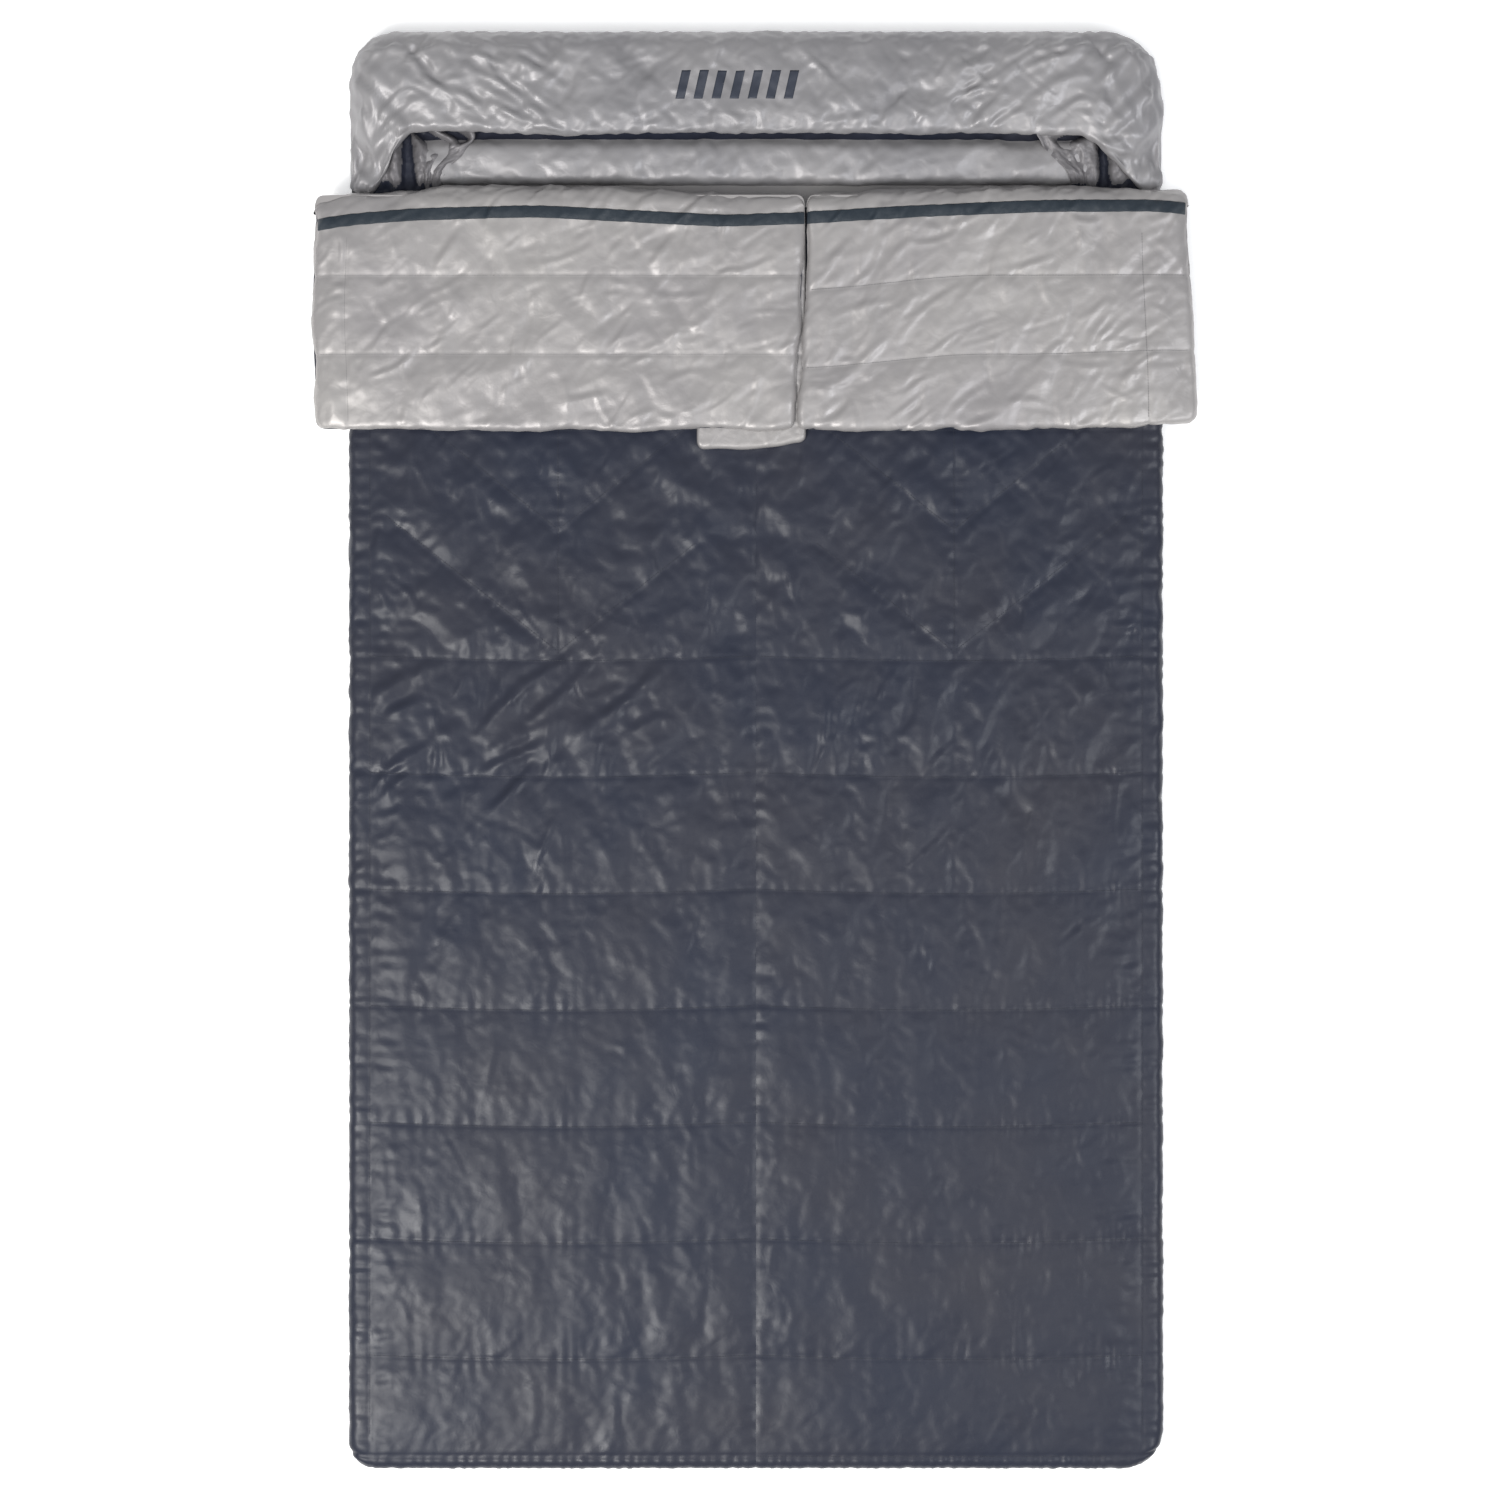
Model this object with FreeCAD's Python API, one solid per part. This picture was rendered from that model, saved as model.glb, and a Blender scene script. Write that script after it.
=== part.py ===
import FreeCAD, Part
import os

# A two-person camp quilt that lies flat: a padded base with a pillow hood at its head,
# a padded quilt on top of it, and two flaps that fold back over the quilt.
# Millimetres. X is across (left is -X), Y is along (head is +Y), Z is up.
# The origin is on the floor, under the middle of the whole object.

# ---- driving dimensions ----
BODY_WIDTH = 1270.0
BODY_LENGTH = 2242.0
FOOT_LEFT_RADIUS = 45.0
FOOT_RIGHT_RADIUS = 65.0
HEAD_LEFT_RADIUS = 78.0
HEAD_RIGHT_RADIUS = 95.0

FABRIC = 1.0
BASE_THICK = 27.0
SPACE_HEIGHT = 12.0
QUILT_THICK = 34.0
FLAP_LIFT = 2.0
FLAP_THICK = 28.0
BASE_EDGE_ROUND = 10.0
QUILT_EDGE_ROUND = 14.0
EDGE_BAND = 34.0
FOOT_BAND = 22.0

FLAP_WIDTH = 1370.0
FLAP_FREE_Y = 495.0
FOLD_Y = 845.0
SLIT_X = 77.0
SLIT_GAP = 2.0
FLAP_CORNER = 18.0
TAPE_WIDTH = 23.0
TAPE_THICK = 1.5
UNDERLAP_LEFT_X = -92.0
UNDERLAP_FREE_Y = 468.0
UNDERLAP_THICK = 11.0
UNDERLAP_CORNER = 8.0
SEAM_CORNER = 1.0
POCKET_ROOM = 2.0
CLEAR = 0.4
OVER = 1.0

HOOD_FRONT_Y = 958.0
HOOD_TOP_Z = 85.0
HOOD_PAD = 24.0
HOOD_BACK_ROUND = 34.0
PRINT_CENTRE = (-29.0, 1032.0)
PRINT_THICK = 0.4
PRINT_BAR = (14.0, 44.0)
PRINT_BAR_COUNT = 7
PRINT_BAR_STEP = 28.0
PRINT_SLANT = 10.0

HEAD_PAD_WIDTH = 1130.0
HEAD_PAD_FRONT_Y = 902.0
HEAD_PAD_BACK_Y = 1090.0
HEAD_PAD_THICK = 16.0
HEAD_PAD_CORNER = 60.0

GUSSET_WIDTH = 84.0
GUSSET_BACK_Y = 957.0
GUSSET_HEIGHT = 25.0
GUSSET_ROUND = 8.0
GUSSET_INSET = 1.0
GUSSET_FRONT_GAP = 3.0

ZIP_TOP_Y = 790.0
ZIP_BOTTOM_Y = -330.0
ZIP_X = 622.0
COIL_HEIGHT = 2.5
COIL_THICK = 2.8
COIL_GAP = 1.0
SLIDER_LENGTH = 16.0
SLIDER_PLATE = 1.6
SLIDER_ROUND = 1.2
SLIDER_STOP_GAP = 1.0
DIVIDER_INSET = 4.0
DIVIDER_CLEAR = 0.2
LUG_WALL = 0.9
LUG_THICK = 1.1
STOP_LENGTH = 5.0
STOP_LIP = 1.0
PULL_LENGTH = 26.0
PULL_THICK = 1.2
PULL_SIDE_GAP = 0.8
PULL_STAND_OFF = 0.6
PIN_RADIUS = 0.9
PIN_CLEAR = 0.3
PULL_EYE_RADIUS = 2.0

# ---- levels and places that follow from them ----
SPACE_TOP = BASE_THICK + SPACE_HEIGHT
QUILT_TOP = SPACE_TOP + QUILT_THICK
FLAP_BOTTOM = QUILT_TOP + FLAP_LIFT
FLAP_TOP = FLAP_BOTTOM + FLAP_THICK
ROLL_RADIUS = (FLAP_TOP - SPACE_TOP) / 2
HALF_WIDTH = BODY_WIDTH / 2
HALF_LENGTH = BODY_LENGTH / 2
HALF_FLAP = FLAP_WIDTH / 2
ZIP_Z = BASE_THICK + SPACE_HEIGHT / 2
COIL_INNER = COIL_GAP / 2
COIL_OUTER = COIL_INNER + COIL_HEIGHT
BAND_X = HALF_WIDTH - EDGE_BAND
BAND_Y = -HALF_LENGTH + FOOT_BAND
PIN_X = ZIP_X + COIL_THICK / 2 + SLIDER_PLATE + PULL_STAND_OFF + PULL_EYE_RADIUS
PIN_Y = ZIP_TOP_Y - SLIDER_STOP_GAP - SLIDER_LENGTH / 2
ARC_SAG = 1 - 0.5 ** 0.5


def vec(x, y, z):
    return FreeCAD.Vector(x, y, z)


def block(x0, x1, y0, y1, z0, z1):
    """A box between two opposite corners."""
    return Part.makeBox(x1 - x0, y1 - y0, z1 - z0, vec(x0, y0, z0))


def rounded_face(x0, x1, y0, y1, z, radii):
    """A flat rectangle with a radius at each corner: foot left, foot right, head right, head left."""
    corners = [(x0, y0, 1, 0), (x1, y0, 0, 1), (x1, y1, -1, 0), (x0, y1, 0, -1)]
    edges = []
    last = None
    first = None
    for (x, y, dx, dy), r in zip(corners, radii):
        # (dx, dy) is the way on from the corner, and (-dy, dx) the way back along the side before it
        start = vec(x + dy * -r, y + dx * r, z)
        end = vec(x + dx * r, y + dy * r, z)
        sag = r * ARC_SAG
        middle = vec(x + sag * (dx - dy), y + sag * (dx + dy), z)
        if last is not None:
            edges.append(Part.makeLine(last, start))
        else:
            first = start
        edges.append(Part.Arc(start, middle, end).toShape())
        last = end
    edges.append(Part.makeLine(last, first))
    return Part.Face(Part.Wire(edges))


def body_prism(inset, z0, z1):
    """The outline of the whole body, drawn in by inset, from z0 up to z1."""
    radii = [FOOT_LEFT_RADIUS, FOOT_RIGHT_RADIUS, HEAD_RIGHT_RADIUS, HEAD_LEFT_RADIUS]
    face = rounded_face(
        -HALF_WIDTH + inset, HALF_WIDTH - inset, -HALF_LENGTH + inset, HALF_LENGTH - inset,
        z0, [r - inset for r in radii],
    )
    return face.extrude(vec(0, 0, z1 - z0))


def round_rims(solid, levels, radius):
    """Rounds the horizontal edges of a slab that lie at the given heights."""
    rims = [e for e in solid.Edges if any(
        all(abs(v.Z - z) < 1e-6 for v in e.Vertexes) for z in levels)]
    return solid.makeFillet(radius, rims)


def mirrored(solid):
    """The same piece on the other side of the object."""
    return solid.mirror(vec(0, 0, 0), vec(1, 0, 0))


def base():
    fill = round_rims(
        body_prism(0, FABRIC, BASE_THICK - FABRIC), [BASE_THICK - FABRIC], BASE_EDGE_ROUND)
    lining = body_prism(BASE_EDGE_ROUND, BASE_THICK - FABRIC, BASE_THICK)
    return {
        "base_shell": body_prism(0, 0, FABRIC),
        "base_fill": fill,
        "base_lining": lining,
    }


def head_pad():
    """The raised pad on the base, in front of and under the hood."""
    half = HEAD_PAD_WIDTH / 2
    face = rounded_face(
        -half, half, HEAD_PAD_FRONT_Y, HEAD_PAD_BACK_Y, BASE_THICK, [HEAD_PAD_CORNER] * 4)
    pad = face.extrude(vec(0, 0, HEAD_PAD_THICK))
    skin = block(-half, half, HEAD_PAD_FRONT_Y, HEAD_PAD_BACK_Y,
                 BASE_THICK + HEAD_PAD_THICK - FABRIC, BASE_THICK + HEAD_PAD_THICK)
    return {"head_pad_cover": pad.common(skin), "head_pad_fill": pad.cut(skin)}


def hood_cap(inset):
    """The space under a hood layer: a cap that is open to the front, rounded over at the back."""
    back = HALF_LENGTH - inset
    top = HOOD_TOP_Z - inset
    bend = HOOD_BACK_ROUND - inset
    sag = bend * ARC_SAG
    corners = [vec(0, HOOD_FRONT_Y, BASE_THICK), vec(0, back, BASE_THICK),
               vec(0, back, top - bend), vec(0, back - bend, top), vec(0, HOOD_FRONT_Y, top)]
    over = Part.Arc(corners[2], vec(0, back - sag, top - sag), corners[3]).toShape()
    profile = Part.Wire([
        Part.makeLine(corners[0], corners[1]), Part.makeLine(corners[1], corners[2]), over,
        Part.makeLine(corners[3], corners[4]), Part.makeLine(corners[4], corners[0]),
    ])
    bar = Part.Face(profile).extrude(vec(BODY_WIDTH, 0, 0))
    bar.translate(vec(-HALF_WIDTH, 0, 0))
    return bar.common(body_prism(inset, BASE_THICK, HOOD_TOP_Z))


def hood():
    """The pillow pocket: three layers, closed at the back and sides and open to the front."""
    caps = [hood_cap(t) for t in (0, FABRIC, HOOD_PAD, HOOD_PAD + FABRIC)]
    layers = [outer.cut(inner) for outer, inner in zip(caps, caps[1:])]
    return dict(zip(["hood_shell", "hood_fill", "hood_lining"], layers))


def hood_print():
    """A plain printed row of slanted bars on the hood."""
    across, along = PRINT_BAR
    bars = []
    for n in range(PRINT_BAR_COUNT):
        x = PRINT_CENTRE[0] + (n - (PRINT_BAR_COUNT - 1) / 2) * PRINT_BAR_STEP - across / 2
        y = PRINT_CENTRE[1] - along / 2
        foot = vec(x - PRINT_SLANT / 2, y, HOOD_TOP_Z)
        lean = vec(PRINT_SLANT, along, 0)
        side = vec(across, 0, 0)
        outline = Part.makePolygon([foot, foot + side, foot + side + lean, foot + lean, foot])
        bars.append(Part.Face(outline).extrude(vec(0, 0, PRINT_THICK)))
    return Part.makeCompound(bars)


def hood_gusset():
    """The folded side fabric between the hood and the quilt, on the right."""
    outer_x = HALF_WIDTH - GUSSET_INSET
    front_y = FOLD_Y + ROLL_RADIUS + GUSSET_FRONT_GAP
    gusset = block(outer_x - GUSSET_WIDTH, outer_x, front_y,
                   GUSSET_BACK_Y, BASE_THICK, BASE_THICK + GUSSET_HEIGHT)
    gusset = gusset.cut(block(0, HEAD_PAD_WIDTH / 2 + CLEAR, HEAD_PAD_FRONT_Y - OVER,
                              GUSSET_BACK_Y, BASE_THICK, BASE_THICK + HEAD_PAD_THICK + CLEAR))
    return round_rims(gusset, [BASE_THICK + GUSSET_HEIGHT], GUSSET_ROUND)


def quilt_slab():
    """The quilt's whole padded layer, from the foot to the fold, with rounded sides."""
    slab = round_rims(
        body_prism(0, SPACE_TOP, QUILT_TOP), [SPACE_TOP, QUILT_TOP], QUILT_EDGE_ROUND)
    far = HALF_WIDTH + OVER
    return slab.cut(block(-far, far, FOLD_Y, HALF_LENGTH + OVER, SPACE_TOP - OVER, QUILT_TOP + OVER))


def quilt():
    slab = quilt_slab()
    low, high = SPACE_TOP - OVER, QUILT_TOP + OVER
    far = HALF_WIDTH + OVER
    middle = block(-BAND_X, BAND_X, BAND_Y, FOLD_Y, SPACE_TOP, QUILT_TOP)
    inside = SPACE_TOP + FABRIC, QUILT_TOP - FABRIC
    return {
        "quilt_lining": middle.common(block(-far, far, BAND_Y, FOLD_Y, low, inside[0])),
        "left_quilt_fill": block(-BAND_X, 0, BAND_Y, FOLD_Y, *inside),
        "right_quilt_fill": block(0, BAND_X, BAND_Y, FOLD_Y, *inside),
        "left_quilt_shell": block(-BAND_X, 0, BAND_Y, FOLD_Y, inside[1], QUILT_TOP),
        "right_quilt_shell": block(0, BAND_X, BAND_Y, FOLD_Y, inside[1], QUILT_TOP),
        "left_edge_band": slab.common(block(-far, -BAND_X, BAND_Y, FOLD_Y, low, high)),
        "right_edge_band": slab.common(block(BAND_X, far, BAND_Y, FOLD_Y, low, high)),
        "foot_edge_band": slab.common(block(-far, far, -HALF_LENGTH - OVER, BAND_Y, low, high)),
    }


def walls():
    """The upright fabric that joins the base to the quilt below the zips and round the foot."""
    thick = 2 * FABRIC
    side = block(ZIP_X - thick, ZIP_X, BAND_Y, ZIP_BOTTOM_Y - STOP_LENGTH, BASE_THICK, SPACE_TOP)
    foot = block(-ZIP_X, ZIP_X, BAND_Y - thick, BAND_Y, BASE_THICK, SPACE_TOP)
    return {"right_side_wall": side, "left_side_wall": mirrored(side), "foot_wall": foot}


def fold_roll(x0, x1):
    """The round turn from the quilt up into a flap, a half cylinder across the object."""
    roll = Part.makeCylinder(
        ROLL_RADIUS, x1 - x0, vec(x0, FOLD_Y, SPACE_TOP + ROLL_RADIUS), vec(1, 0, 0))
    return roll.common(block(x0, x1, FOLD_Y, FOLD_Y + ROLL_RADIUS + OVER, 0, FLAP_TOP + OVER))


def flap(side, x0, x1, foot_corners, pocket=None):
    """One flap as three layers and its tape. pocket is cut out of it, to leave room for the underlap."""
    radii = foot_corners + [SEAM_CORNER, SEAM_CORNER]
    face = rounded_face(x0, x1, FLAP_FREE_Y, FOLD_Y - CLEAR, FLAP_BOTTOM, radii)
    whole = face.extrude(vec(0, 0, FLAP_THICK))
    lining = block(x0, x1, FLAP_FREE_Y, FOLD_Y, FLAP_TOP - FABRIC, FLAP_TOP)
    shell = block(x0, x1, FLAP_FREE_Y, FOLD_Y, FLAP_BOTTOM, FLAP_BOTTOM + FABRIC)
    fill = whole.cut(lining).cut(shell)
    if pocket:
        fill = fill.cut(pocket)
        shell = shell.cut(pocket)
    return {
        side + "_flap_shell": whole.common(shell),
        side + "_flap_fill": fill,
        side + "_flap_lining": whole.common(lining),
        side + "_flap_tape": block(x0 + CLEAR, x1 - CLEAR, FOLD_Y - CLEAR - TAPE_WIDTH, FOLD_Y - CLEAR,
                                   FLAP_TOP, FLAP_TOP + TAPE_THICK),
    }


def flaps():
    left_end = SLIT_X - SLIT_GAP / 2
    right_end = SLIT_X + SLIT_GAP / 2
    pocket = block(UNDERLAP_LEFT_X - POCKET_ROOM, left_end + OVER, FLAP_FREE_Y - OVER, FOLD_Y + OVER,
                   FLAP_BOTTOM - OVER, FLAP_BOTTOM + UNDERLAP_THICK + OVER)
    face = rounded_face(UNDERLAP_LEFT_X, right_end - CLEAR, UNDERLAP_FREE_Y, FOLD_Y - CLEAR,
                        FLAP_BOTTOM, [UNDERLAP_CORNER, SEAM_CORNER, SEAM_CORNER, SEAM_CORNER])
    nodes = {
        "left_fold_roll": fold_roll(-HALF_FLAP, left_end),
        "right_fold_roll": fold_roll(right_end, HALF_FLAP),
        "right_flap_underlap": face.extrude(vec(0, 0, UNDERLAP_THICK)),
    }
    nodes.update(flap("left", -HALF_FLAP, left_end, [FLAP_CORNER, SEAM_CORNER], pocket))
    nodes.update(flap("right", right_end, HALF_FLAP, [SEAM_CORNER, FLAP_CORNER]))
    return nodes


def zip_rows():
    """The right zip's two tapes, two coils and end stops. The zip stands upright in the side gap."""
    tape = [ZIP_X - FABRIC / 2, ZIP_X + FABRIC / 2, ZIP_BOTTOM_Y, ZIP_TOP_Y]
    coil = [ZIP_X - COIL_THICK / 2, ZIP_X + COIL_THICK / 2, ZIP_BOTTOM_Y, ZIP_TOP_Y]
    stops = [block(coil[0] - STOP_LIP, coil[1] + STOP_LIP, y, y + STOP_LENGTH,
                   ZIP_Z - COIL_OUTER, ZIP_Z + COIL_OUTER)
             for y in (ZIP_TOP_Y, ZIP_BOTTOM_Y - STOP_LENGTH)]
    return {
        "zip_base_tape": block(*tape, BASE_THICK, ZIP_Z - COIL_OUTER),
        "zip_quilt_tape": block(*tape, ZIP_Z + COIL_OUTER, SPACE_TOP),
        "zip_base_coil": block(*coil, ZIP_Z - COIL_OUTER, ZIP_Z - COIL_INNER),
        "zip_quilt_coil": block(*coil, ZIP_Z + COIL_INNER, ZIP_Z + COIL_OUTER),
        "zip_stops": Part.makeCompound(stops),
    }


def zip_slider():
    """Two plates round the coils, joined by a thin divider, with lugs and a pin for the pull."""
    y0 = PIN_Y - SLIDER_LENGTH / 2
    y1 = PIN_Y + SLIDER_LENGTH / 2
    room = COIL_THICK / 2 + CLEAR
    half = COIL_OUTER + CLEAR + FABRIC
    x0 = ZIP_X - room - SLIDER_PLATE
    x1 = ZIP_X + room + SLIDER_PLATE
    slider = block(x0, x1, y0, y1, ZIP_Z - half, ZIP_Z + half)
    upright = [e for e in slider.Edges if abs(e.Length - 2 * half) < 1e-6]
    slider = slider.makeFillet(SLIDER_ROUND, upright)
    channel = block(ZIP_X - room, ZIP_X + room, y0 - OVER, y1 + OVER,
                    ZIP_Z - COIL_OUTER - CLEAR, ZIP_Z + COIL_OUTER + CLEAR)
    slot = block(ZIP_X - FABRIC / 2 - CLEAR, ZIP_X + FABRIC / 2 + CLEAR, y0 - OVER, y1 + OVER,
                 ZIP_Z - half - OVER, ZIP_Z + half + OVER)
    blade = COIL_INNER - DIVIDER_CLEAR
    divider = block(x0 + SLIDER_PLATE / 2, x1 - SLIDER_PLATE / 2,
                    y0 + DIVIDER_INSET, y1 - DIVIDER_INSET, ZIP_Z - blade, ZIP_Z + blade)
    foot = vec(PIN_X, PIN_Y, ZIP_Z - half)
    lug_radius = PIN_RADIUS + LUG_WALL
    lug = Part.makeCylinder(lug_radius, LUG_THICK, foot, vec(0, 0, 1))
    arm = block(x1 - SLIDER_PLATE / 2, PIN_X, PIN_Y - lug_radius, PIN_Y + lug_radius,
                foot.z, foot.z + LUG_THICK)
    low_lug = lug.fuse(arm)
    high_lug = low_lug.mirror(vec(0, 0, ZIP_Z), vec(0, 0, 1))
    pin = Part.makeCylinder(PIN_RADIUS, 2 * half, foot, vec(0, 0, 1))
    return slider.cut(channel).cut(slot).fuse([divider, pin, low_lug, high_lug]).removeSplitter()


def zip_pull():
    """The pull tab: an eye round the slider's pin, and a flat tab that lies along the zip."""
    half = COIL_OUTER - PULL_SIDE_GAP
    foot = vec(PIN_X, PIN_Y, ZIP_Z - half)
    eye = Part.makeCylinder(PULL_EYE_RADIUS, 2 * half, foot, vec(0, 0, 1))
    tab = block(PIN_X - PULL_THICK / 2, PIN_X + PULL_THICK / 2, PIN_Y - PULL_LENGTH, PIN_Y,
                ZIP_Z - half, ZIP_Z + half)
    hole = Part.makeCylinder(PIN_RADIUS + PIN_CLEAR, 2 * half + 2 * OVER,
                             foot - vec(0, 0, OVER), vec(0, 0, 1))
    return eye.fuse(tab).cut(hole).removeSplitter()


def zips():
    right = {**zip_rows(), "zip_slider": zip_slider(), "zip_pull": zip_pull()}
    nodes = {"right_" + name: piece for name, piece in right.items()}
    nodes.update({"left_" + name: mirrored(piece) for name, piece in right.items()})
    return nodes


def main():
    gusset = hood_gusset()
    nodes = {
        **base(), **head_pad(), **hood(), "hood_print": hood_print(),
        "right_hood_gusset": gusset, "left_hood_gusset": mirrored(gusset),
        **quilt(), **walls(), **flaps(), **zips(),
    }
    os.makedirs("parts", exist_ok=True)
    total = 0.0
    for name, shape in nodes.items():
        shape.exportStep(os.path.join("parts", name + ".step"))
        total += shape.Volume
        print(name, shape.ShapeType, "solids", len(shape.Solids), "valid", shape.isValid())
    print(len(nodes), "nodes,", round(total / 1e9, 4), "cubic metres")


main()
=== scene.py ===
import math

import bmesh
import bpy
import numpy as np
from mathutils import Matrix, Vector
from mathutils.bvhtree import BVHTree


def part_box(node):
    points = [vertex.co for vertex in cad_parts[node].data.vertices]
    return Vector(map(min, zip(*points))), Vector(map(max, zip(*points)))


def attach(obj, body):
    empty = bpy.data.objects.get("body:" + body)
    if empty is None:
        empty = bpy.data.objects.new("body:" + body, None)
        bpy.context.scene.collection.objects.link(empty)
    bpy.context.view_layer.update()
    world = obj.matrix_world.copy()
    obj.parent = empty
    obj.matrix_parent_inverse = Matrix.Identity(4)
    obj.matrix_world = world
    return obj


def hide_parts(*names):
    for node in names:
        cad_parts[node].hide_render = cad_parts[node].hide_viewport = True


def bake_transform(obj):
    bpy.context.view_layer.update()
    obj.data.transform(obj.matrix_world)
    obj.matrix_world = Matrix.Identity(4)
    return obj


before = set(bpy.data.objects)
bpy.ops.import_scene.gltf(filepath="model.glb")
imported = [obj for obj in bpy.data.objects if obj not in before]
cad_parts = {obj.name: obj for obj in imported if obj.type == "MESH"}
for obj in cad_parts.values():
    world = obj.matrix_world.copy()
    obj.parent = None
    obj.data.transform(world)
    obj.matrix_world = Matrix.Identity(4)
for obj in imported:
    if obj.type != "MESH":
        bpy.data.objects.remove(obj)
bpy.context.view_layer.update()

# A two-person camp quilt, laid flat with its two flaps folded back. Metres, +Y towards the head.
# Each cloth starts as a flat pattern and is laid over its slab; the quilt's top, the flaps' linings, the head
# pad, the hood and its gussets are buckled in a cloth simulation. Each is then finished with its seams'
# grooves, gathers and folds. In the patterns s runs across and t along.

# ---- sizes from the frame ----
X_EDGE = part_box("base_fill")[1].x
Y_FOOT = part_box("base_fill")[0].y
Y_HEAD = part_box("base_fill")[1].y
BASE_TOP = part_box("base_lining")[1].z
SEAM_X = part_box("right_quilt_shell")[1].x
FOOT_SEAM_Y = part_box("right_quilt_shell")[0].y
FOLD_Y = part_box("right_quilt_shell")[1].y
QUILT_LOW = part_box("quilt_lining")[0].z
FLAP_FREE_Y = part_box("right_flap_lining")[0].y
FLAP_EDGE_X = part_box("right_flap_lining")[1].x
LEFT_SLIT_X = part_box("left_flap_lining")[1].x
RIGHT_SLIT_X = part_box("right_flap_lining")[0].x
HOOD_FRONT_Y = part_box("hood_shell")[0].y

SIDES = {-1: "left", 1: "right"}
FLAP_SPAN = {-1: (-FLAP_EDGE_X, LEFT_SLIT_X), 1: (RIGHT_SLIT_X, FLAP_EDGE_X)}

# ---- sizes of the cut and the sewing ----
BODY_ROUNDS = (0.045, 0.065, 0.095, 0.078)      # foot left, foot right, head right, head left
CHEST_ROW_Y = 0.146          # the first seam right across, below the chevrons
ROW_STEP = 0.1813
ROW_COUNT = 7
ROW_SAG = 0.007
HIDDEN_ROWS = (0.50, 0.68)   # the seams that the folded flaps cover
CHEVRON_X = 0.308
SEAM_GROOVE = 0.0035         # half the width of the groove along a seam
EDGE_GROOVE = 0.004          # the same along the edge bands and the chevrons
ON_SEAM = 1e-4               # a grid point nearer than this lies on the seam
FULL_HOLD = 1.0              # how firmly a sewn line is held in the simulation
SIM_FRAMES = 22

scene = bpy.context.scene


# ---------------------------------------------------------------- patterns in the cloth

def smooth(a, b, value):
    """0 below a, 1 above b, and a smooth rise between."""
    t = np.clip((value - a) / (b - a), 0, 1)
    return t * t * (3 - 2 * t)


def near(away, width):
    """1 on a line, falling away smoothly over about width beside it."""
    return np.exp(-(away / width) ** 2)


def hills(x, y, size, seed):
    """Smooth random height from about -1 to 1, with hills about size across."""
    table = np.random.default_rng(seed).uniform(0, 2 * np.pi, (64, 64))
    gx, gy = x / size, y / size
    ix, iy = np.floor(gx).astype(int), np.floor(gy).astype(int)
    fx, fy = gx - ix, gy - iy
    wx, wy = fx * fx * fx * (fx * (fx * 6 - 15) + 10), fy * fy * fy * (fy * (fy * 6 - 15) + 10)
    total = 0
    for i in (0, 1):
        for j in (0, 1):
            turn = table[(ix + i) % 64, (iy + j) % 64]
            slope = (fx - i) * np.cos(turn) + (fy - j) * np.sin(turn)
            total = total + slope * (wx if i else 1 - wx) * (wy if j else 1 - wy)
    return 1.6 * total


def crumple(x, y, size, seed, stretch=1.0, lean=0.0):
    """Sharp-ridged crinkles about size across, longer by stretch along the direction lean."""
    a = x * math.cos(lean) + y * math.sin(lean)
    b = -x * math.sin(lean) + y * math.cos(lean)
    a = a / stretch + 0.5 * size * hills(x, y, 2.3 * size, seed + 7)
    b = b + 0.5 * size * hills(x, y, 2.3 * size, seed + 8)
    total, share = 0, 1.0
    for layer in range(3):
        total = total + share * (0.5 - np.abs(hills(a, b, size, seed + layer)) * 2.0)
        size, share = size * 0.55, share * 0.5
    return total


def facets(x, y, size, seed, lean):
    """A crumpled sheet's flat facets about size across, with crisp edges that run mostly along lean."""
    draw = np.random.default_rng(seed)
    x = x + 0.35 * size * hills(x, y, 2.2 * size, seed + 1)
    y = y + 0.35 * size * hills(x, y, 2.2 * size, seed + 2)
    total = 0
    for number in range(6):
        turn = lean + 0.65 * draw.normal()
        wave = size * draw.uniform(0.6, 1.7)
        phase = (x * math.sin(turn) - y * math.cos(turn)) / wave + draw.uniform(0, 1)
        share = np.clip(0.25 + hills(x, y, 1.5 * size, seed + 3 + number), 0, 1)
        total = total + share * wave / size * (4 * np.abs(phase % 1 - 0.5) - 1)
    return total / 5


def creases(x, y, count, area, lean, spread, length, width, height, seed):
    """The height of count separate folds, each a short ridge with a shallow valley beside it."""
    draw = np.random.default_rng(seed)
    order = np.argsort(y)
    xs, ys = x[order], y[order]
    total = np.zeros(len(x))
    for _ in range(count):
        cx, cy = draw.uniform(area[0], area[1]), draw.uniform(area[2], area[3])
        turn = lean + spread * draw.normal()
        long, wide = draw.uniform(*length), draw.uniform(*width)
        high = draw.uniform(*height) * draw.choice((-0.6, 1.0, 1.0))
        bow = draw.uniform(-0.5, 0.5)
        reach = 0.5 * long + 4 * wide
        first, last = np.searchsorted(ys, (cy - reach, cy + reach))
        dx, dy = xs[first:last] - cx, ys[first:last] - cy
        along = dx * math.cos(turn) + dy * math.sin(turn)
        across = dy * math.cos(turn) - dx * math.sin(turn) + bow * along * along / long
        ridge = near(across, wide) - 0.55 * near(across - 1.9 * wide, wide)
        total[first:last] += high * ridge * np.clip(1 - (2 * along / long) ** 2, 0, 1)
    found = np.zeros(len(x))
    found[order] = total
    return found


def pucker(away, along, wave, reach, height, seed):
    """Small gathers that start at a seam: away is the distance from it, along the place on it."""
    phase = 2 * np.pi * along / wave + 2.6 * hills(along, 0 * along + 0.3 * seed, 2.2 * wave, seed)
    strength = 0.35 + np.abs(hills(along, 0 * along, 5 * wave, seed + 1))
    return height * strength * np.sin(phase) * np.exp(-away / reach)


def nearest(value, places):
    """The distance to the nearest of some places."""
    return np.min([np.abs(value - place) for place in places], axis=0)


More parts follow.
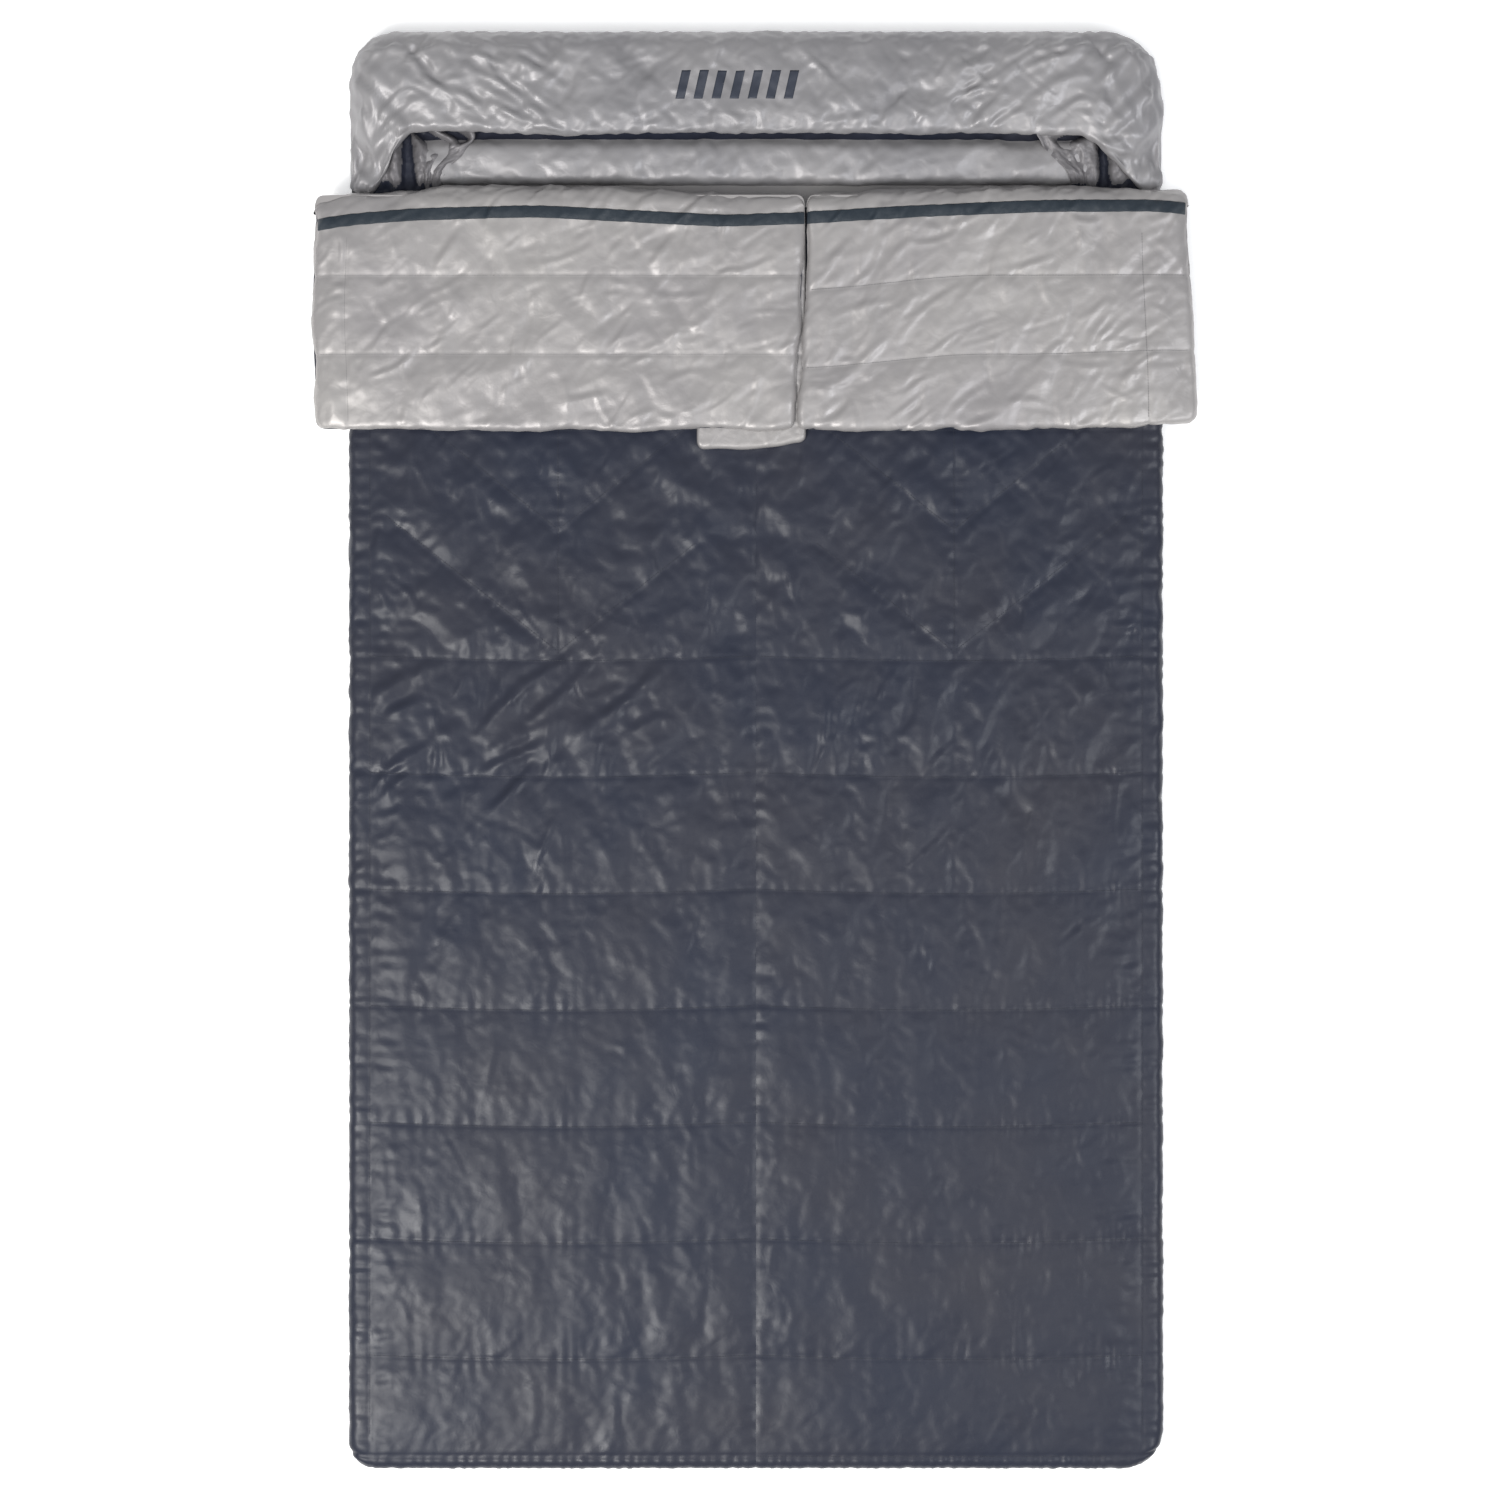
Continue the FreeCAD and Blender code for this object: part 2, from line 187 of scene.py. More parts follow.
def inset(s, t, x0, x1, y0, y1):
    """How far each point lies inside a patch's four edges."""
    return np.minimum(np.minimum(s - x0, x1 - s), np.minimum(t - y0, y1 - t))


def rim_of(s, t):
    """Which points of a grid lie on its outer edge."""
    return (s == s.min()) | (s == s.max()) | (t == t.min()) | (t == t.max())


def from_seam(x, y, seam):
    """(distance from a straight seam, place along it) for each point."""
    x0, y0, x1, y1 = seam
    long = math.hypot(x1 - x0, y1 - y0)
    ux, uy = (x1 - x0) / long, (y1 - y0) / long
    along = (x - x0) * ux + (y - y0) * uy
    past = np.maximum(0, np.maximum(-along, along - long))
    return np.hypot((y - y0) * ux - (x - x0) * uy, past), along


# ---------------------------------------------------------------- meshes

def coordinates(mesh):
    flat = np.zeros(len(mesh.vertices) * 3)
    mesh.vertices.foreach_get("co", flat)
    return flat.reshape(-1, 3)


def set_coordinates(mesh, places):
    mesh.vertices.foreach_set("co", np.asarray(places, np.float32).ravel())
    mesh.update()


def normals(mesh):
    flat = np.zeros(len(mesh.vertices) * 3)
    mesh.vertices.foreach_get("normal", flat)
    return flat.reshape(-1, 3)


def put(piece, x, y, z):
    """Lays a piece's points out in space."""
    set_coordinates(piece.data, np.stack([x, y, z], axis=1))


def raise_surface(piece, height):
    """Moves a piece's surface out along its own normals."""
    set_coordinates(piece.data, coordinates(piece.data) + normals(piece.data) * height[:, None])


def lines(knots, cell):
    """Places for a grid's lines, about a cell apart, with a line exactly on every knot."""
    spans = zip(knots, knots[1:])
    parts = [np.linspace(a, b, max(1, round((b - a) / cell)), endpoint=False) for a, b in spans]
    return np.append(np.concatenate(parts), knots[-1])


def keep_pattern(bm):
    """Keeps each corner's place in plan as its pattern coordinates, in metres."""
    layer = bm.loops.layers.uv.new("pattern")
    for face in bm.faces:
        face.smooth = True
        for loop in face.loops:
            loop[layer].uv = loop.vert.co.xy


def made_piece(name, bm):
    """A new piece with the finished mesh of bm."""
    piece = bpy.data.objects.new(name, bpy.data.meshes.new(name))
    bm.to_mesh(piece.data)
    bm.free()
    scene.collection.objects.link(piece)
    return piece


def cloth_piece(name, xs, ys):
    """A flat grid with its columns at xs and rows at ys, its pattern coordinates kept as UVs in metres."""
    bm = bmesh.new()
    bmesh.ops.create_grid(bm, x_segments=len(xs) - 1, y_segments=len(ys) - 1, size=0.5)
    for v in bm.verts:
        column, row = round((v.co.x + 0.5) * (len(xs) - 1)), round((v.co.y + 0.5) * (len(ys) - 1))
        v.co = (xs[column], ys[row], 0)
    keep_pattern(bm)
    return made_piece(name, bm)


def pattern_of(piece):
    """Each vertex's pattern coordinates, read back from the UVs."""
    mesh = piece.data
    corner = np.zeros(len(mesh.loops), int)
    mesh.loops.foreach_get("vertex_index", corner)
    uv = np.zeros(len(mesh.loops) * 2)
    mesh.uv_layers["pattern"].uv.foreach_get("vector", uv)
    found = np.zeros((len(mesh.vertices), 2))
    found[corner] = uv.reshape(-1, 2)
    return found[:, 0], found[:, 1]


def turned_down(s, t, rect, rounds, radius, wall):
    """Lays a flat pattern over a slab with the outline rect and corner rounds, turns it down round the
    slab's edge and on down its side by wall. Returns x, y, the drop and the outward normal."""
    x0, x1, y0, y1 = rect
    right, head = s > (x0 + x1) / 2, t > (y0 + y1) / 2
    at_head, at_foot = np.where(right, rounds[2], rounds[3]), np.where(right, rounds[1], rounds[0])
    corner = np.where(head, at_head, at_foot)
    core = np.maximum(corner - radius, 1e-4)
    sx, sy = np.where(right, 1.0, -1.0), np.where(head, 1.0, -1.0)
    cx = np.where(right, x1 - radius - core, x0 + radius + core)
    cy = np.where(head, y1 - radius - core, y0 + radius + core)
    dx, dy = np.maximum(0, (s - cx) * sx), np.maximum(0, (t - cy) * sy)
    far = np.maximum(np.hypot(dx, dy), 1e-9)
    nx, ny = dx / far, dy / far
    quarter = radius * np.pi / 2
    out = far > core
    room = (core + quarter + wall) / np.maximum(np.maximum(nx, ny), 1e-9) - core
    length = np.where(out, far - core, 0) * (quarter + wall) / room
    angle = np.minimum(length / radius, np.pi / 2)
    away = core + radius * np.sin(angle)
    x = np.where(out & (nx > 0), cx + sx * nx * away, s)
    y = np.where(out & (ny > 0), cy + sy * ny * away, t)
    drop = radius * (1 - np.cos(angle)) + np.maximum(0, length - quarter)
    normal = np.stack([sx * nx * np.sin(angle), sy * ny * np.sin(angle), np.cos(angle)], axis=1)
    return x, y, drop, normal


def edge_length(radius, wall):
    """How much farther than the slab's edge a pattern goes, for turned_down."""
    return radius * (math.pi / 2 - 1) + wall


def refined(piece):
    """Makes the piece's mesh finer by one step of smooth subdivision."""
    step = piece.modifiers.new("Subdivision", "SUBSURF")
    step.levels = step.render_levels = 1
    graph = bpy.context.evaluated_depsgraph_get()
    made = bpy.data.meshes.new_from_object(piece.evaluated_get(graph))
    piece.modifiers.clear()
    old, name = piece.data, piece.data.name
    piece.data = made
    bpy.data.meshes.remove(old)
    made.name = name


def close_under(piece, level=None):
    """Closes a pad's underside. Its open edge is carried straight to a level, if one is given, and filled."""
    bm = bmesh.new()
    bm.from_mesh(piece.data)
    rim = [e for e in bm.edges if e.is_boundary]
    for edge in rim:
        edge.smooth = False
    if level is not None:
        made = bmesh.ops.extrude_edge_only(bm, edges=rim)["geom"]
        for v in made:
            if isinstance(v, bmesh.types.BMVert):
                v.co.z = level
        rim = [e for e in made if isinstance(e, bmesh.types.BMEdge)]
    bottom = bmesh.ops.edgeloop_fill(bm, edges=rim)
    for face in bottom["faces"]:
        face.smooth = False
    bmesh.ops.recalc_face_normals(bm, faces=bm.faces)
    bm.to_mesh(piece.data)
    bm.free()


def thickened(piece, thickness):
    """Gives a one-sided cloth its own thickness, below its face."""
    bm = bmesh.new()
    bm.from_mesh(piece.data)
    bm.normal_update()
    normal_at = {tuple(v.co): v.normal.copy() for v in bm.verts}
    made = bmesh.ops.extrude_face_region(bm, geom=bm.faces[:], use_keep_orig=True)["geom"]
    for v in made:
        if isinstance(v, bmesh.types.BMVert):
            v.co -= normal_at[tuple(v.co)] * thickness
    bmesh.ops.recalc_face_normals(bm, faces=bm.faces)
    for face in bm.faces:
        face.smooth = True
    bm.to_mesh(piece.data)
    bm.free()


# ---------------------------------------------------------------- cloth simulation

waiting = []


def gather(piece, hold, ease=0.05, pressure=0.3, cap=0.012, bending=0.05, swell=1.0, folds=1.0):
    """Notes a piece for the cloth simulation. Hold is 1 where it is sewn down and near 0 where it is free;
    the free cloth is cut larger by ease, so it buckles into puffs and gathers. Swell and folds are the
    shares that are kept of its even swelling and of the folds on top of that."""
    waiting.append((piece, hold, ease, pressure, cap, bending, swell, folds))


def calmed(piece, step, swell, folds):
    """Splits a simulated movement into the even swelling between seams and the folds, and keeps a share
    of each."""
    columns = len(np.unique(np.round(pattern_of(piece)[0], 6)))
    field = step.reshape(-1, columns, 3)
    by_row = field.mean(axis=1)
    by_column = (field * by_row[:, None]).sum(axis=(0, 2)) / max((by_row ** 2).sum(), 1e-12)
    even = by_row[:, None] * by_column[None, :, None]
    kept = np.broadcast_to(folds, len(step)).reshape(-1, columns, 1)
    return (swell * even + kept * (field - even)).reshape(-1, 3)


def add_cloth(piece, hold, ease, pressure, bending):
    group = piece.vertex_groups.new(name="sewn")
    for value in np.unique(hold):
        if value > 0:
            group.add(np.flatnonzero(hold == value).tolist(), float(value), "REPLACE")
    cloth = piece.modifiers.new("Cloth", "CLOTH")
    how = cloth.settings
    how.shrink_min = -ease
    how.quality = 4
    how.mass = 0.15
    how.tension_stiffness = how.compression_stiffness = 12
    how.shear_stiffness = 4
    how.bending_stiffness = bending
    how.tension_damping = how.compression_damping = how.shear_damping = 5
    how.bending_damping = 0.5
    how.vertex_group_mass = "sewn"
    how.pin_stiffness = 1
    how.use_pressure = True
    how.uniform_pressure_force = pressure
    how.effector_weights.gravity = 0
    cloth.collision_settings.use_collision = False
    cloth.point_cache.frame_start = 1
    cloth.point_cache.frame_end = SIM_FRAMES


def run_cloth():
    """Steps every waiting piece through the simulation together, then keeps each result as its mesh."""
    for piece, hold, ease, pressure, _, bending, *_ in waiting:
        draw = np.random.default_rng(len(piece.data.vertices))
        raise_surface(piece, draw.normal(0, 0.0004, len(hold)) * (hold < 1))
        add_cloth(piece, hold, ease, pressure, bending)
    scene.frame_start, scene.frame_end = 1, SIM_FRAMES
    for number in range(1, SIM_FRAMES + 1):
        scene.frame_set(number)
    graph = bpy.context.evaluated_depsgraph_get()
    results = [coordinates(piece.evaluated_get(graph).data) for piece, *_ in waiting]
    scene.frame_set(1)
    for (piece, _, _, _, cap, _, swell, folds), places in zip(waiting, results):
        piece.modifiers.clear()
        piece.vertex_groups.clear()
        before = coordinates(piece.data)
        step = calmed(piece, places - before, swell, folds)
        long = np.maximum(np.linalg.norm(step, axis=1), 1e-9)
        set_coordinates(piece.data, before + step * (cap * np.tanh(long / cap) / long)[:, None])


# ---------------------------------------------------------------- materials

def paint(red, green, blue):
    """A colour given as screen values, made linear for the shader."""
    return tuple((value / 255) ** 2.2 for value in (red, green, blue)) + (1,)


def node(material, kind, **sockets):
    """A new node with values, or links from other nodes' sockets, on its named inputs."""
    made = material.node_tree.nodes.new("ShaderNode" + kind)
    for name, value in sockets.items():
        numbered = name[0] == "i" and name[1:].isdigit()
        target = made.inputs[int(name[1:]) if numbered else name.replace("_", " ")]
        if isinstance(value, bpy.types.NodeSocket):
            material.node_tree.links.new(value, target)
        else:
            target.default_value = value
    return made


def new_material(name, roughness, metallic=0.0, specular=0.5):
    material = bpy.data.materials.new(name)
    material.use_nodes = True
    shader = material.node_tree.nodes["Principled BSDF"]
    shader.inputs["Roughness"].default_value = roughness
    shader.inputs["Metallic"].default_value = metallic
    shader.inputs["Specular IOR Level"].default_value = specular
    return material, shader


def blend_colours(material, factor, first, second):
    mix = material.node_tree.nodes.new("ShaderNodeMix")
    mix.data_type = "RGBA"
    material.node_tree.links.new(factor, mix.inputs["Factor"])
    mix.inputs["A"].default_value = first
    mix.inputs["B"].default_value = second
    return mix.outputs["Result"]


def spread(material, value, low, high):
    """Turns a 0.3 to 0.7 noise value into low to high."""
    ends = {"From_Min": 0.3, "From_Max": 0.7, "To_Min": low, "To_Max": high}
    return node(material, "MapRange", Value=value, **ends).outputs[0]


def pattern_place(material):
    """The piece's own pattern coordinates, in metres."""
    pattern = material.node_tree.nodes.new("ShaderNodeUVMap")
    pattern.uv_map = "pattern"
    return pattern.outputs["UV"]


def two_shades(material, shader, place, first, second, scale, **grain):
    """Slow changes between two close shades."""
    slow = node(material, "TexNoise", Vector=place, Scale=scale, Detail=3.0, **grain)
    result = blend_colours(material, spread(material, slow.outputs[0], 0, 1), first, second)
    material.node_tree.links.new(result, shader.inputs["Base Color"])


def nylon(name, first, second, roughness, crinkle, weave=0.05, specular=0.32, satin=0.0):
    """Woven nylon taffeta: slow changes of shade, small hard crinkles and a fine plain weave."""
    material, shader = new_material(name, roughness, satin, specular)
    link = material.node_tree.links.new
    place = pattern_place(material)
    two_shades(material, shader, place, first, second, 3.2, Roughness=0.6)
    gloss = node(material, "TexNoise", Vector=place, Scale=14.0, Detail=3.0, Roughness=0.6)
    link(spread(material, gloss.outputs[0], roughness - 0.05, roughness + 0.09), shader.inputs["Roughness"])
    folds = node(material, "TexNoise", Vector=place, Scale=38.0, Detail=4.0, Roughness=0.55, Distortion=1.2)
    small = node(material, "TexVoronoi", Vector=place, Scale=75.0, Randomness=1.0)
    warp = node(material, "TexWave", Vector=place, Scale=330.0, Distortion=0.3)
    weft = node(material, "TexWave", Vector=place, Scale=330.0, Distortion=0.3)
    weft.bands_direction = "Y"
    cloth = node(material, "Math", i0=warp.outputs[1], i1=weft.outputs[1])
    cloth.operation = "MULTIPLY"
    first_bump = node(material, "Bump", Height=folds.outputs[0], Strength=crinkle, Distance=0.004)
    next_bump = node(material, "Bump", Height=small.outputs[0], Strength=0.35 * crinkle, Distance=0.002,
                     Normal=first_bump.outputs[0])
    last_bump = node(material, "Bump", Height=cloth.outputs[0], Strength=weave, Distance=0.0004,
                     Normal=next_bump.outputs[0])
    link(last_bump.outputs[0], shader.inputs["Normal"])
    return material


def plain_finish(name, first, second, roughness, grain, metallic=0.0, depth=0.0003):
    """A small hard or woven part: two close shades, grain of that scale, and wear in its gloss."""
    material, shader = new_material(name, roughness, metallic)
    link = material.node_tree.links.new
    place = material.node_tree.nodes.new("ShaderNodeTexCoord").outputs["Object"]
    two_shades(material, shader, place, first, second, 40.0)
    fine = node(material, "TexNoise", Vector=place, Scale=grain, Detail=3.0)
    link(spread(material, fine.outputs[0], roughness - 0.08, roughness + 0.08), shader.inputs["Roughness"])
    bump = node(material, "Bump", Height=fine.outputs[0], Strength=0.4, Distance=depth)
    link(bump.outputs[0], shader.inputs["Normal"])
    return material


def ribbed(name, first, second, roughness, scale):
    """A ribbed grosgrain tape: fine ribs across it, on its own pattern coordinates."""
    material, shader = new_material(name, roughness)
    place = pattern_place(material)
    two_shades(material, shader, place, first, second, 30.0)
    ribs = node(material, "TexWave", Vector=place, Scale=scale, Distortion=0.4)
    folds = node(material, "TexNoise", Vector=place, Scale=90.0, Detail=3.0)
    soft = node(material, "Bump", Height=folds.outputs[0], Strength=0.5, Distance=0.002)
    bump = node(material, "Bump", Height=ribs.outputs[1], Strength=0.4, Distance=0.0004,
                Normal=soft.outputs[0])
    material.node_tree.links.new(bump.outputs[0], shader.inputs["Normal"])
    return material


SLATE = nylon("slate nylon", paint(43, 47, 59), paint(51, 52, 60), roughness=0.38, crinkle=0.10)
LINING = nylon("grey lining nylon", paint(153, 150, 151), paint(172, 169, 167),
               roughness=0.42, crinkle=0.15, satin=0.38)
HOOD_CLOTH = nylon("grey hood nylon", paint(138, 137, 140), paint(158, 156, 157),
                   roughness=0.43, crinkle=0.18, satin=0.34)
# The gussets' nylon is the grey lining cloth painted darker: painted shade for their hollow place in front of
# the hood.
GUSSET_PAINTED_SHADE_CLOTH = nylon("grey nylon with painted shade", paint(100, 98, 101), paint(126, 124, 126),
                     roughness=0.45, crinkle=0.5, satin=0.30)
TAPE = ribbed("dark tape", paint(38, 46, 54), paint(48, 55, 62), 0.55, 300.0)
THREAD_DARK = plain_finish("dark thread", paint(46, 48, 56), paint(58, 60, 68), 0.6, 900.0)
THREAD_GREY = plain_finish("grey thread", paint(98, 97, 99), paint(116, 115, 116), 0.6, 900.0)
INK = plain_finish("print ink", paint(52, 56, 66), paint(60, 64, 74), 0.5, 400.0)
ZIP_TAPE = plain_finish("zip tape", paint(40, 42, 50), paint(52, 54, 62), 0.7, 1400.0)
ZIP_COIL = plain_finish("zip coil", paint(30, 32, 38), paint(40, 42, 50), 0.4, 700.0)
ZIP_METAL = plain_finish("zip metal", paint(120, 122, 126), paint(150, 151, 154), 0.35, 500.0, metallic=1.0)


def paint_mesh(mesh, material):
    mesh.materials.clear()
    mesh.materials.append(material)


def finish_piece(piece, material, slot, *nodes):
    """Gives a piece its material, and says which nodes it replaces. The slot is not used."""
    paint_mesh(piece.data, material)
    if nodes:
        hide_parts(*nodes)


# ---------------------------------------------------------------- the quilt's cover

QUILT_CELL = 0.008
QUILT_SEAM_Z = 0.0672
QUILT_PUFF = 0.0020
QUILT_TURN = 0.015
QUILT_WALL = QUILT_SEAM_Z - QUILT_TURN - QUILT_LOW - 0.0003
ROWS = [CHEST_ROW_Y - k * ROW_STEP for k in range(ROW_COUNT)]
ALL_ROWS = [FOOT_SEAM_Y] + ROWS[::-1] + list(HIDDEN_ROWS) + [FOLD_Y]
CHEVRON_FEET = (0.153, 0.343)
CHEVRON_ARMS = ((-0.215, 0.170), (0.272, 0.215))


def chevrons(side):
    """The V-shaped seams over the chest, and the short seam up through their points."""
    x = side * CHEVRON_X
    seams = [(x, CHEST_ROW_Y, x, HIDDEN_ROWS[0])]
    for foot in CHEVRON_FEET:
        for across, up in CHEVRON_ARMS:
            seams.append((x, foot, x + side * across, foot + up))
    return seams


def sagged(s, t):
    """Seams across hang a little towards the foot between the centre seam and the edge."""
    fade = smooth(Y_FOOT, FOOT_SEAM_Y + 0.15, t) * (1 - smooth(0.3, 0.6, t))
    return t - ROW_SAG * np.sin(np.pi * np.clip(np.abs(s) / SEAM_X, 0, 1)) * fade


def arch(distance, width):
    """0 at a seam, rising to 1 at width from it."""
    return 1 - (1 - np.clip(distance / width, 0, 1)) ** 2


def quilt_cover(side):
    """Half of the quilt's dark top, from the centre seam over the side's edge band."""
    reach = edge_length(QUILT_TURN, QUILT_WALL)
    xs = lines([0, CHEVRON_X, SEAM_X, X_EDGE + reach], QUILT_CELL)
    ys = lines([Y_FOOT - reach] + ALL_ROWS, QUILT_CELL)
    piece = cloth_piece(f"quilt_cover_{SIDES[side]}", xs if side > 0 else -xs[::-1], ys)
    s, t = pattern_of(piece)
    rect = (-X_EDGE, X_EDGE, Y_FOOT, FOLD_Y + 1)
    x, y, drop, _ = turned_down(s, sagged(s, t), rect, BODY_ROUNDS, QUILT_TURN, QUILT_WALL)
    inside = (np.abs(s) < SEAM_X) & (t > FOOT_SEAM_Y)
    puff = arch(nearest(t, ALL_ROWS), 0.08) * arch(np.minimum(np.abs(s), SEAM_X - np.abs(s)), 0.05)
    for seam in chevrons(side):
        puff = puff * (1 - 0.4 * near(from_seam(s, t, seam)[0], 0.012))
    z = QUILT_SEAM_Z + QUILT_PUFF * np.where(inside, puff, 0) - drop
    put(piece, x, y, z)
    sewn = (nearest(t, ALL_ROWS) < ON_SEAM) | (nearest(np.abs(s), (0, SEAM_X)) < ON_SEAM) | rim_of(s, t)
    folds = 0.22 + 0.42 * smooth(-0.60, 0.15, t) + 0.12 * hills(s, t, 0.30, 9)
    hold = np.where(sewn, FULL_HOLD, 0.004)
    gather(piece, hold, ease=0.045, cap=0.009, bending=0.08, swell=0.06, folds=folds)
    return piece


def finish_quilt_cover(piece, side):
    """Grooves and gathers along the seams, crisp folds that grow towards the head, and a closed underside."""
    refined(piece)
    s, t = pattern_of(piece)
    away_row, away_centre, away_edge = nearest(t, ALL_ROWS), np.abs(s), np.abs(np.abs(s) - SEAM_X)
    away_foot = np.abs(t - FOOT_SEAM_Y)
    body = smooth(0, 0.02, SEAM_X - np.abs(s)) * smooth(0, 0.02, t - FOOT_SEAM_Y)
    height = -0.0010 * near(np.minimum(away_row, away_centre), SEAM_GROOVE)
    height -= 0.0008 * near(np.minimum(away_edge, away_foot), EDGE_GROOVE)
    height += body * pucker(away_row, s, 0.024, 0.018, 0.0009, 11)
    height += body * pucker(away_centre, t, 0.034, 0.028, 0.0010, 13)
    height += body * pucker(away_edge, t, 0.027, 0.034, 0.0013, 17)
    for number, seam in enumerate(chevrons(side)):
        away, along = from_seam(s, t, seam)
        gathers = pucker(away, along, 0.018, 0.014, 0.0007, 19 + number)
        height += body * (gathers - 0.0009 * near(away, EDGE_GROOVE))
    band = 1 - smooth(-0.004, 0.004, SEAM_X - np.abs(s))
    height += band * (pucker(0 * s, t, 0.021, 1.0, 0.0007, 31) + 0.0008 * hills(s, t, 0.03, 33))
    foot_band = 1 - smooth(-0.004, 0.004, t - FOOT_SEAM_Y)
    height += foot_band * (1 - band) * pucker(0 * s, s, 0.017, 1.0, 0.0010, 37)
    area = (*sorted((0.0, side * SEAM_X)), FOOT_SEAM_Y, FOLD_Y)
    upper = smooth(-0.75, 0.1, t)
    folds = creases(s, t, 150, area, 1.35 * side, 0.45, (0.04, 0.14), (0.003, 0.007), (0.0005, 0.0016), 41)
    height += body * (0.45 + 0.55 * upper) * folds
    height += body * (0.2 + 0.8 * upper) * 0.0003 * crumple(s, t, 0.040, 43, 2.5, 1.2 * side)
    seam_side = smooth(0, 0.03, np.minimum(away_row, away_centre))
    height += body * seam_side * (0.25 + 0.75 * upper) * 0.0040 * facets(s, t, 0.060, 45 + side, 1.2 * side)
    if side < 0:
        area = (-0.6, -0.12, -0.06, 0.13)
        sweep = creases(s, t, 30, area, 0.62, 0.14, (0.10, 0.22), (0.007, 0.012), (0.0014, 0.0028), 47)
        height += body * sweep
    raise_surface(piece, height)
    place = coordinates(piece.data)
    place[:, 0] = np.where(np.abs(s) < ON_SEAM, 0, place[:, 0])
    set_coordinates(piece.data, place)
    close_under(piece, QUILT_LOW + 0.0002)
    word = SIDES[side]
    finish_piece(piece, SLATE, "slate_shell", f"{word}_quilt_shell", f"{word}_quilt_fill", f"{word}_edge_band",
                 *(["foot_edge_band"] if side > 0 else []))
    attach(piece, "bag")


# ---------------------------------------------------------------- base, linings and walls

BASE_CELL = 0.012
BASE_ROWS = ROWS + list(HIDDEN_ROWS)
BASE_HEAD_ROW = 0.86
BASE_TURN = 0.010
BASE_WALL = 0.0155
BASE_FLOOR_GAP = 0.0006
LINING_CELL = 0.016
LINING_THICK = 0.0007
CORNER_PULL = 0.015          # how far a lining's corners are drawn in
WALL_THICK = 0.0005
SIDE_WALL_X = 0.621
FOOT_WALL_Y = -1.1


def base_cover():
    """The dark cover under the padded base: sewn channels below, rounded and gathered sides."""
    reach = edge_length(BASE_TURN, BASE_WALL)
    rows = sorted(BASE_ROWS) + [BASE_HEAD_ROW]
    xs = lines([-X_EDGE - reach, 0, X_EDGE + reach], BASE_CELL)
    ys = lines([Y_FOOT - reach] + rows + [Y_HEAD + reach], BASE_CELL)
    piece = cloth_piece("base_cover", xs, ys)
    s, t = pattern_of(piece)
    rect = (-X_EDGE, X_EDGE, Y_FOOT, Y_HEAD)
    x, y, drop, normal = turned_down(s, t, rect, BODY_ROUNDS, BASE_TURN, BASE_WALL)
    recess = 0.003 * near(np.minimum(nearest(t, rows), np.abs(s)), 0.012)
    z = BASE_FLOOR_GAP + recess * normal[:, 2] + drop
    out = 1 - normal[:, 2]
    along = np.where(np.abs(normal[:, 0]) > np.abs(normal[:, 1]), y, x)
    gathers = pucker(0 * s, along, 0.024, 1.0, 0.0019, 53)
    swell = out * (gathers + 0.0010 * hills(along, 0 * along, 0.09, 55) - 0.0014)
    place = np.stack([x, y, z], axis=1) + normal * np.array([1, 1, 0]) * swell[:, None]
    set_coordinates(piece.data, place)
    refined(piece)
    close_under(piece)
    finish_piece(piece, SLATE, "slate_shell", "base_shell", "base_fill")
    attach(piece, "bag")


def flat_lining(name, x_half, y0, y1, level, seed):
    """A thin lining that lies sewn to its padding, with the channels pressed into it."""
    piece = cloth_piece(f"{name}_sheet", lines([-x_half, 0, x_half], LINING_CELL), lines([y0, y1], LINING_CELL))
    s, t = pattern_of(piece)
    channel = near(np.minimum(nearest(t, BASE_ROWS), np.abs(s)), 0.014)
    inside = inset(s, t, -x_half, x_half, y0, y1)
    z = level + arch(inside, 0.03) * (0.0008 * (1 - channel) + 0.0003 * crumple(s, t, 0.05, seed))
    pull = CORNER_PULL * near(np.hypot(x_half - np.abs(s), np.minimum(t - y0, y1 - t)), 0.05)
    x = s - np.sign(s) * pull
    y = t - np.where(t > (y0 + y1) / 2, 1, -1) * pull
    put(piece, x, y, np.where(inside < ON_SEAM, level, z))
    thickened(piece, LINING_THICK)
    finish_piece(piece, LINING, "grey_lining", name)
    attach(piece, "bag")


def gathered_wall(name, start, end, out, node_name, seed):
    """A low strip of cloth standing between base and quilt, gathered along its length."""
    long = math.dist(start, end)
    low, high = BASE_TOP - 0.0006, QUILT_LOW + 0.0008
    piece = cloth_piece(name, lines([0, long], 0.004), lines([low, high], 0.003))
    s, t = pattern_of(piece)
    middle = arch(np.minimum(t - t.min(), t.max() - t), 0.006)
    side = middle * (0.0008 + pucker(0 * s, s, 0.012, 1.0, 0.0011, seed))
    x = start[0] + (end[0] - start[0]) * s / long + out[0] * side
    y = start[1] + (end[1] - start[1]) * s / long + out[1] * side
    put(piece, x, y, t)
    thickened(piece, WALL_THICK)
    finish_piece(piece, SLATE, "slate_shell", node_name)
    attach(piece, "bag")


PAD_CELL = 0.008
PAD_AREA = (-0.532, 0.532, 0.884, 1.088)
PAD_ROUND = 0.05
PAD_TURN = 0.011
PAD_Z = 0.0435
PAD_WALL = PAD_Z - PAD_TURN - 0.0275
PAD_DIP = (0.940, 0.960)     # where the pad sinks under the hood's front edge
PAD_DIP_DEPTH = 0.0165
PAD_PAINTED_SHADE_Y = 0.951           # beyond this the pad's faces take the dark slate cloth: painted shade in the gap under the hood's front edge
